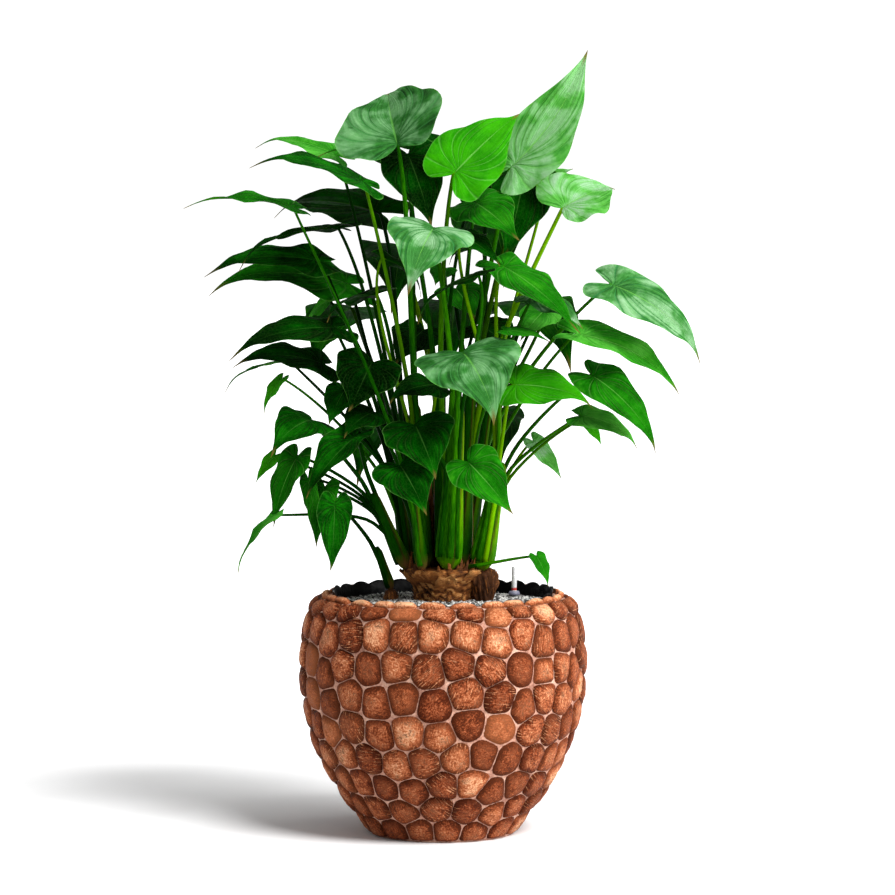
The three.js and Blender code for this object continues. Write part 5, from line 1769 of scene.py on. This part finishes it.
@dataclass
class Rootstock:
    """The brown papery rootstock: a lumpy body with torn leaf bases, and a fibrous stump at the right.

    Flaps hug the body, scraps are short dry strips that stand on its crown, and tall strips, dry sheath
    remains kept dark, stand between the shoots as painted shade. The fold width is the distance between
    two folds, one above the other.
    """

    seed: int = 33
    flaps: int = 26
    scraps: int = 90
    tall_strips: int = 30
    fold_width: float = 13.0
    film: float = 0.35

    @staticmethod
    def flat(turn: np.ndarray, height: np.ndarray, tall: float) -> np.ndarray:
        """Places on a drum of 50 mm radius, stretched upwards, from which the noise is read."""
        return layers(np.cos(turn) * 50, np.sin(turn) * 50, height * tall)

    def skin(self, turn: np.ndarray, height: np.ndarray) -> np.ndarray:
        """Points of the stock's uneven surface.

        Args:
            turn: angles about the axis.
            height: heights in millimetres.

        Returns:
            The points, one for each pair.
        """
        rings = np.array(STOCK_RINGS, dtype=float)
        radius = np.interp(height, rings[:, 0], rings[:, 1])
        flat = self.flat(turn, height, 1.6)
        radius = radius + 2.0 * lumps(flat, 44, 7) + 0.6 * lumps(flat, 9, 8)
        radius = radius + 3.2 * self.folds(turn, height) - 2.2
        x = STOCK_CENTRE[0] + radius * np.cos(turn)
        return layers(x, STOCK_CENTRE[1] + radius * np.sin(turn), height)

    def folds(self, turn: np.ndarray, height: np.ndarray) -> np.ndarray:
        """Papery folds: wavy rings that rise and fall round the stock.

        Args:
            turn: angles about the axis.
            height: heights in millimetres.

        Returns:
            1 on a crest, 0 in a crease.
        """
        phase = height / self.fold_width * math.pi + 3.2 * lumps(self.flat(turn, height, 0.7), 42, 9, 2)
        return np.abs(np.sin(phase + 5 * turn + 1.1 * np.sin(turn * 3 + 0.6))) ** 0.7

    def body(self, shell: Shell) -> None:
        """Adds the main body, with painted shade in its creases and painted light on its folds.

        Args:
            shell: receives the body.
        """
        turn = circle(200)
        height = np.concatenate([[286, 305], np.linspace(318, 371.0, 60)])[:, None]
        flat = self.flat(turn, height, 1.6)
        # Painted light on the fold crests, painted shade in the creases, with random lumps.
        tan_and_painted_light = 0.1 + 0.62 * self.folds(turn, height) ** 1.5 + 0.28 * lumps(flat, 16, 8)
        warm = 0.5 + 0.5 * lumps(flat, 50, 13)
        dark = 0.3 * ease(lumps(flat, 34, 15), 0.0, 0.5) + 0.35 * ease(height, 356, 369)
        shell.rings(self.skin(turn, height), layers(tan_and_painted_light, warm, dark, 0.0), layers(turn * 2.5, height / 20))

    def film_sheet(self, shell: Shell, middle: np.ndarray, tone: np.ndarray, chart: np.ndarray) -> None:
        """Adds a sheet of the films' thickness."""
        thick = np.full(middle.shape[:2], self.film)
        shell.sheet(middle, thick, thick, tone, chart)

    def flap(self, shell: Shell, random: np.random.Generator) -> None:
        """Adds one papery scrap of an old leaf base that hugs the stock below and peels away above.

        Args:
            shell: receives the scrap.
            random: the seeded source of chance.
        """
        turn = random.uniform(0, math.tau)
        low = random.uniform(342, 358)
        wide, tall = random.uniform(0.25, 0.7), random.uniform(11, 24)
        across = np.linspace(-1, 1, 11)[None, :]
        up = np.linspace(0, 1, 8)[:, None]
        ragged = 1 - 0.35 * np.abs(across) ** 2 + 0.12 * np.sin(across * random.uniform(6, 14) + turn)
        height = np.minimum(low + up * tall * ragged, 370.5)
        angle = turn + across * wide * (1 - 0.25 * up) / 2
        ground = self.skin(angle, height)
        centre = np.array([*STOCK_CENTRE, 0.0])
        outward = unit((ground - centre) * np.array([1.0, 1.0, 0.0]))
        peel = 0.8 + random.uniform(0.5, 4.5) * up ** 2 + 1.2 * np.sin(across * 5 + turn) * up
        middle = ground + outward * peel[..., None]
        tan_and_painted_light = 0.55 + 0.3 * up + 0.15 * random.uniform(-1, 1) + 0 * across
        tone = layers(tan_and_painted_light, random.uniform(0, 1), 0.35 * (1 - up), random.uniform(0, 9))
        self.film_sheet(shell, middle, tone, layers(across * wide, up * tall / 20))

    def scrap(self, shell: Shell, random: np.random.Generator, turn: float, reach: float,
              taller: float = 0.0, pale: float = 0.5) -> None:
        """Adds one dry pointed strip of an old sheath that stands on the crown between the shoots.

        Args:
            shell: receives the strip.
            random: the seeded source of chance.
            turn: its direction from the stock's axis.
            reach: its distance from the axis.
            taller: millimetres added to its height, and as a tenth to its width.
            pale: how much lighter its upper end may be.
        """
        wide = random.uniform(5.0, 10.0) + taller / 10
        tall = 10.0 + taller + 26.0 * random.uniform(0.0, 1.0) ** 1.5
        across = np.linspace(-1, 1, 7)[None, :]
        up = np.linspace(0, 1, 9)[:, None]
        outward = np.array([math.cos(turn), math.sin(turn), 0.0])
        aside = np.array([-outward[1], outward[0], 0.0])
        lean = reach + up * (tall - taller * 0.9) * random.uniform(-0.1, 0.5)
        lean = lean + 2.0 * np.sin(up * 5 + turn * 7) * up
        half = wide / 2 * (1 - up ** 1.6 * 0.92) * (1 + 0.15 * np.sin(up * 14 + turn * 9))
        curl = 1.6 * (1 - across ** 2) * (1 - up)
        sway = 2.5 * up * math.sin(turn * 5)
        middle = outward * (lean + curl)[..., None] + aside * (across * half + sway)[..., None]
        middle = middle + np.array([0.0, 0.0, 1.0]) * (364.0 + up * tall)[..., None]
        middle = middle + np.array([*STOCK_CENTRE, 0.0])
        tan_and_painted_light = 0.18 + pale * random.uniform(0, 1) * up + 0.12 * np.sin(across * 9)
        tone = layers(tan_and_painted_light, random.uniform(0, 1), 0.3 * (1 - up), random.uniform(0, 9))
        self.film_sheet(shell, middle, tone, layers(across * 0.3, up * tall / 20))

    def fibres(self, shell: Shell, random: np.random.Generator, count: int, centre: tuple[float, float],
               radius: float, low: float, high: float) -> None:
        """Adds thin curved fibres round an upright body.

        Args:
            shell: receives the fibres.
            random: the seeded source of chance.
            count: how many.
            centre: x and y of the body.
            radius: of the body.
            low: lowest start.
            high: highest end.
        """
        for _ in range(count):
            turn = random.uniform(0, math.tau)
            foot, top = np.sort(random.uniform(low, high, 2))
            top = min(max(top, foot + 9), high)
            share = np.linspace(0, 1, 6)
            angle = turn + share * random.normal(0, 0.25)
            out = radius - 0.4 + share ** 2 * random.uniform(0, 4.0)
            path = layers(centre[0] + out * np.cos(angle), centre[1] + out * np.sin(angle),
                          foot + share * (top - foot))
            sides = carried_sides(path, np.array([math.cos(turn), math.sin(turn), 0.0]))
            thick = random.uniform(0.3, 0.6) * (1 - 0.6 * share)
            grid = round_path(path, *sides, thick[:, None], circle(4))
            shell.rings(grid, np.array([random.uniform(0.15, 0.75), random.uniform(0, 0.6), 0.3, 0.0]))

    def stump(self, shell: Shell, centre: tuple[float, float], rings: list[tuple[float, float]],
              rough: float, dark: float, seed: int) -> None:
        """Adds an upright knobbly body.

        Args:
            shell: receives the body.
            centre: x and y of its axis.
            rings: its heights and radii.
            rough: how far the knobs stand out.
            dark: darkness of the bark.
            seed: picks the knobs.
        """
        grid = turned(spread(rings, 2.5), 64, centre)
        middle = np.array([*centre, 0.0])
        outward = unit((grid - middle) * np.array([1.0, 1.0, 0.0]))
        angle = np.arctan2(outward[..., 1], outward[..., 0])
        ribs = 0.5 * np.sin(angle * 13 + lumps(grid, 30, seed + 1))
        uneven = lumps(grid * np.array([1.0, 1.0, 0.5]), 12, seed) + ribs
        grid = grid + outward * (rough * uneven)[..., None]
        # Painted light on the knobs and ribs, painted shade between them.
        tone = layers(0.4 + 0.35 * uneven, 0.3, dark, 0.0)
        shell.rings(grid, tone, layers(angle * 1.6, grid[..., 2] / 20))

    def build(self) -> None:
        """Makes the rootstock and the offset rootstock."""
        random = np.random.default_rng(self.seed)
        bark = [bark_material()]
        stock = Shell()
        self.body(stock)
        for _ in range(self.flaps):
            self.flap(stock, random)
        for turn in random.uniform(0, math.tau, self.scraps):
            self.scrap(stock, random, turn, random.uniform(38.0, 56.0))
        # Tall strips behind the axis, with no pale ends: dark sheets that stand as painted shade between the
        # shoots.
        for turn in random.uniform(0.1, math.pi - 0.1, self.tall_strips):
            self.scrap(stock, random, turn, random.uniform(4.0, 40.0), random.uniform(70.0, 150.0), 0.0)
        rings = [(300, 9), (328, 12.5), (346, 18), (362, 20), (368, 17), (371.4, 9)]
        self.stump(stock, RIGHT_STUMP, rings, rough=2.6, dark=0.75, seed=17)
        self.fibres(stock, random, 190, RIGHT_STUMP, 18.0, 334, 371)
        self.fibres(stock, random, 120, STOCK_CENTRE, 43.5, 320, 346)
        stock.piece("rootstock_bark", bark, "rootstock", "bark")
        offset = Shell()
        rings = [(288, 7), (300, 9.5), (318, 10.5), (330, 10.2), (336, 8.6), (339.4, 5)]
        self.stump(offset, OFFSET_STOCK, rings, rough=0.6, dark=0.2, seed=19)
        self.fibres(offset, random, 40, OFFSET_STOCK, 10.2, 318, 339)
        offset.piece("offset_rootstock_bark", bark, "offset_rootstock", "bark")


@dataclass
class WaterGauge:
    """A clear tube with a red float in it, in a collar on the grit; all are turned about one axis."""

    sides: int = 48
    red_band: tuple[float, float] = (333.0, 335.4)

    def tube(self) -> None:
        """Makes the tube with its closed bore: an outer skin and an inner skin that faces inwards."""
        low, high = self.red_band
        outside = [(100, 3.0), (100.3, 3.5), (101, 3.6), (200, 3.6), (332, 3.6), (low, 3.6), (high, 3.6),
                   (337, 3.6), (363, 3.6), (365.3, 3.3), (366, 2.6), (366, 0.6)]
        inside = [(364.2, 0.6), (364.0, 2.2), (363.4, 2.6), (345, 2.7), (300, 2.7), (200, 2.7), (103, 2.7),
                  (102.2, 2.4), (102, 0.6)]
        red = np.isin(np.array(outside)[:, 0], self.red_band).astype(float)[:, None]
        shell = Shell()
        shell.rings(turned(outside, self.sides, GAUGE_PLACE), layers(red, 0.0, 0.0, 0.0))
        shell.rings(turned(inside, self.sides, GAUGE_PLACE), np.zeros(4))
        shell.piece("gauge_tube_clear", [GAUGE_PLASTIC.material()], "gauge_tube", "gauge")

    def float_rod(self) -> None:
        """Makes the float, a rod that stands free in the bore."""
        rings = [(102.6, 0.9), (102.8, 2.0), (103.4, 2.2), (200, 2.2), (332, 2.2), (332.8, 1.9), (333, 0.8)]
        shell = Shell()
        shell.rings(turned(rings, self.sides, GAUGE_PLACE), np.zeros(4))
        shell.piece("gauge_float_rod", [FLOAT_PLASTIC.material()], "gauge_float", "float")

    def collar(self) -> None:
        """Makes the collar, a ring round the tube: its last ring of points meets the first."""
        rings = [(325.6, 4.2), (325.6, 7.4), (326.2, 8.0), (328.5, 8.0), (330.6, 7.2), (331.4, 6.2),
                 (331.4, 4.4), (330.8, 4.1), (326.2, 4.1)]
        shell = Shell()
        first = shell.add(turned(rings, self.sides, GAUGE_PLACE).reshape(-1, 3), np.zeros(4))
        index = first + np.arange(len(rings) * self.sides).reshape(-1, self.sides)
        index = np.concatenate([index, index[:1]])
        shell.face(grid_faces(index, True)[:, ::-1])
        shell.piece("gauge_collar_ring", [COLLAR_PLASTIC.material()], "gauge_collar", "collar")

    def build(self) -> None:
        """Makes the tube, the float and the collar."""
        self.tube()
        self.float_rod()
        self.collar()


# Studio


@dataclass
class Studio:
    """White surroundings, a pale floor, soft lights and the camera, in metres.

    The floor glows a little from glow_from to glow_to metres off, so that it fades into the white
    behind it. The haze and the backdrop are how bright the surroundings are to the things and, more,
    to the camera.
    """

    aim_height: float = 0.55
    floor_reach: float = 60.0
    glow_from: float = 0.5
    glow_to: float = 2.0
    haze: float = 0.35
    backdrop: float = 0.75

    @staticmethod
    def add(name: str, data: bpy.types.ID) -> bpy.types.Object:
        """Links a new object with the given data to the scene and returns it."""
        thing = bpy.data.objects.new(name, data)
        bpy.context.scene.collection.objects.link(thing)
        return thing

    def light(self, name: str, place: tuple[float, float, float], size: float, watts: float) -> None:
        """Adds a square area light that faces the plant's middle.

        Args:
            name: the light's name.
            place: where it hangs.
            size: its side.
            watts: its power.
        """
        lamp = bpy.data.lights.new(name, "AREA")
        lamp.size = size
        lamp.energy = watts
        thing = self.add(name, lamp)
        thing.location = place
        way = Vector((0.0, 0.0, self.aim_height)) - Vector(place)
        thing.rotation_euler = way.to_track_quat("-Z", "Y").to_euler()

    def sun(self, way: tuple[float, float, float], strength: float, spread_degrees: float) -> None:
        """Adds the key light, a broad sun, which lights the whole floor alike.

        Args:
            way: the direction in which it shines.
            strength: its strength.
            spread_degrees: its width as seen from the ground.
        """
        lamp = bpy.data.lights.new("key", "SUN")
        lamp.energy = strength
        lamp.angle = math.radians(spread_degrees)
        self.add("key", lamp).rotation_euler = Vector(way).to_track_quat("-Z", "Y").to_euler()

    def floor(self) -> None:
        """Makes the floor, matt and nearly white, glowing a little in the distance."""
        finish = Finish("pale_floor")
        tree = finish.tree
        broad = MOTTLE.use(tree, Place=finish.place(), Size=6.0).outputs["Broad"]
        finish.set(Base_Color=blended(tree, broad, (0.86, 0.86, 0.86), (0.88, 0.88, 0.88)))
        finish.set(Roughness=0.8, Specular_IOR_Level=0.1)
        far = node(tree, "ShaderNodeVectorMath", {0: finish.place()}, operation="LENGTH").outputs["Value"]
        glow = ranged(tree, far, self.glow_from, self.glow_to, 0.0, 0.5)
        finish.set(Emission_Color=(1.0, 1.0, 1.0), Emission_Strength=glow)
        mesh = bpy.data.meshes.new("floor")
        reach = self.floor_reach
        corners = [(-reach, -reach, 0), (reach, -reach, 0), (reach, reach, 0), (-reach, reach, 0)]
        mesh.from_pydata(corners, [], [(0, 1, 2, 3)])
        mesh.materials.append(finish.material)
        self.add("floor", mesh)

    def surroundings(self) -> None:
        """Makes the world white, brighter to the camera than to the things that it lights."""
        world = bpy.data.worlds.new("white_studio")
        world.use_nodes = True
        tree = world.node_tree
        back = tree.nodes["Background"]
        back.inputs["Color"].default_value = (1.0, 1.0, 1.0, 1.0)
        seen = node(tree, "ShaderNodeLightPath").outputs["Is Camera Ray"]
        feed(tree, back.inputs["Strength"], sums(tree, "MULTIPLY_ADD", seen, self.backdrop, self.haze))
        bpy.context.scene.world = world

    def camera(self) -> None:
        """Sets the camera where the photo was taken from: far off, a little above the middle."""
        lens = bpy.data.cameras.new("front_view")
        lens.lens = 144.7
        lens.sensor_width = 36.0
        thing = self.add("front_view", lens)
        thing.location = (0.0068, -VIEW_DISTANCE * MM, VIEW_HEIGHT * MM)
        thing.rotation_euler = (math.radians(86.77), 0.0, 0.0)
        bpy.context.scene.camera = thing

    def build(self) -> None:
        """Sets the surroundings, floor, lights, camera and view."""
        self.surroundings()
        self.floor()
        self.sun((-0.42, 0.5, -0.76), strength=3.9, spread_degrees=24.0)
        self.light("fill", (3.0, -1.6, 1.0), size=2.0, watts=110.0)
        self.light("top", (0.6, 0.2, 3.2), size=1.6, watts=40.0)
        self.camera()
        bpy.context.scene.view_settings.view_transform = "Standard"


def main() -> None:
    """Builds every piece and the studio."""
    logging.basicConfig(level=logging.INFO, format="%(message)s")
    Planter().build()
    Liner().build()
    Grit().build()
    Rootstock().build()
    WaterGauge().build()
    Foliage().build()
    Studio().build()


if __name__ == "__main__":
    main()
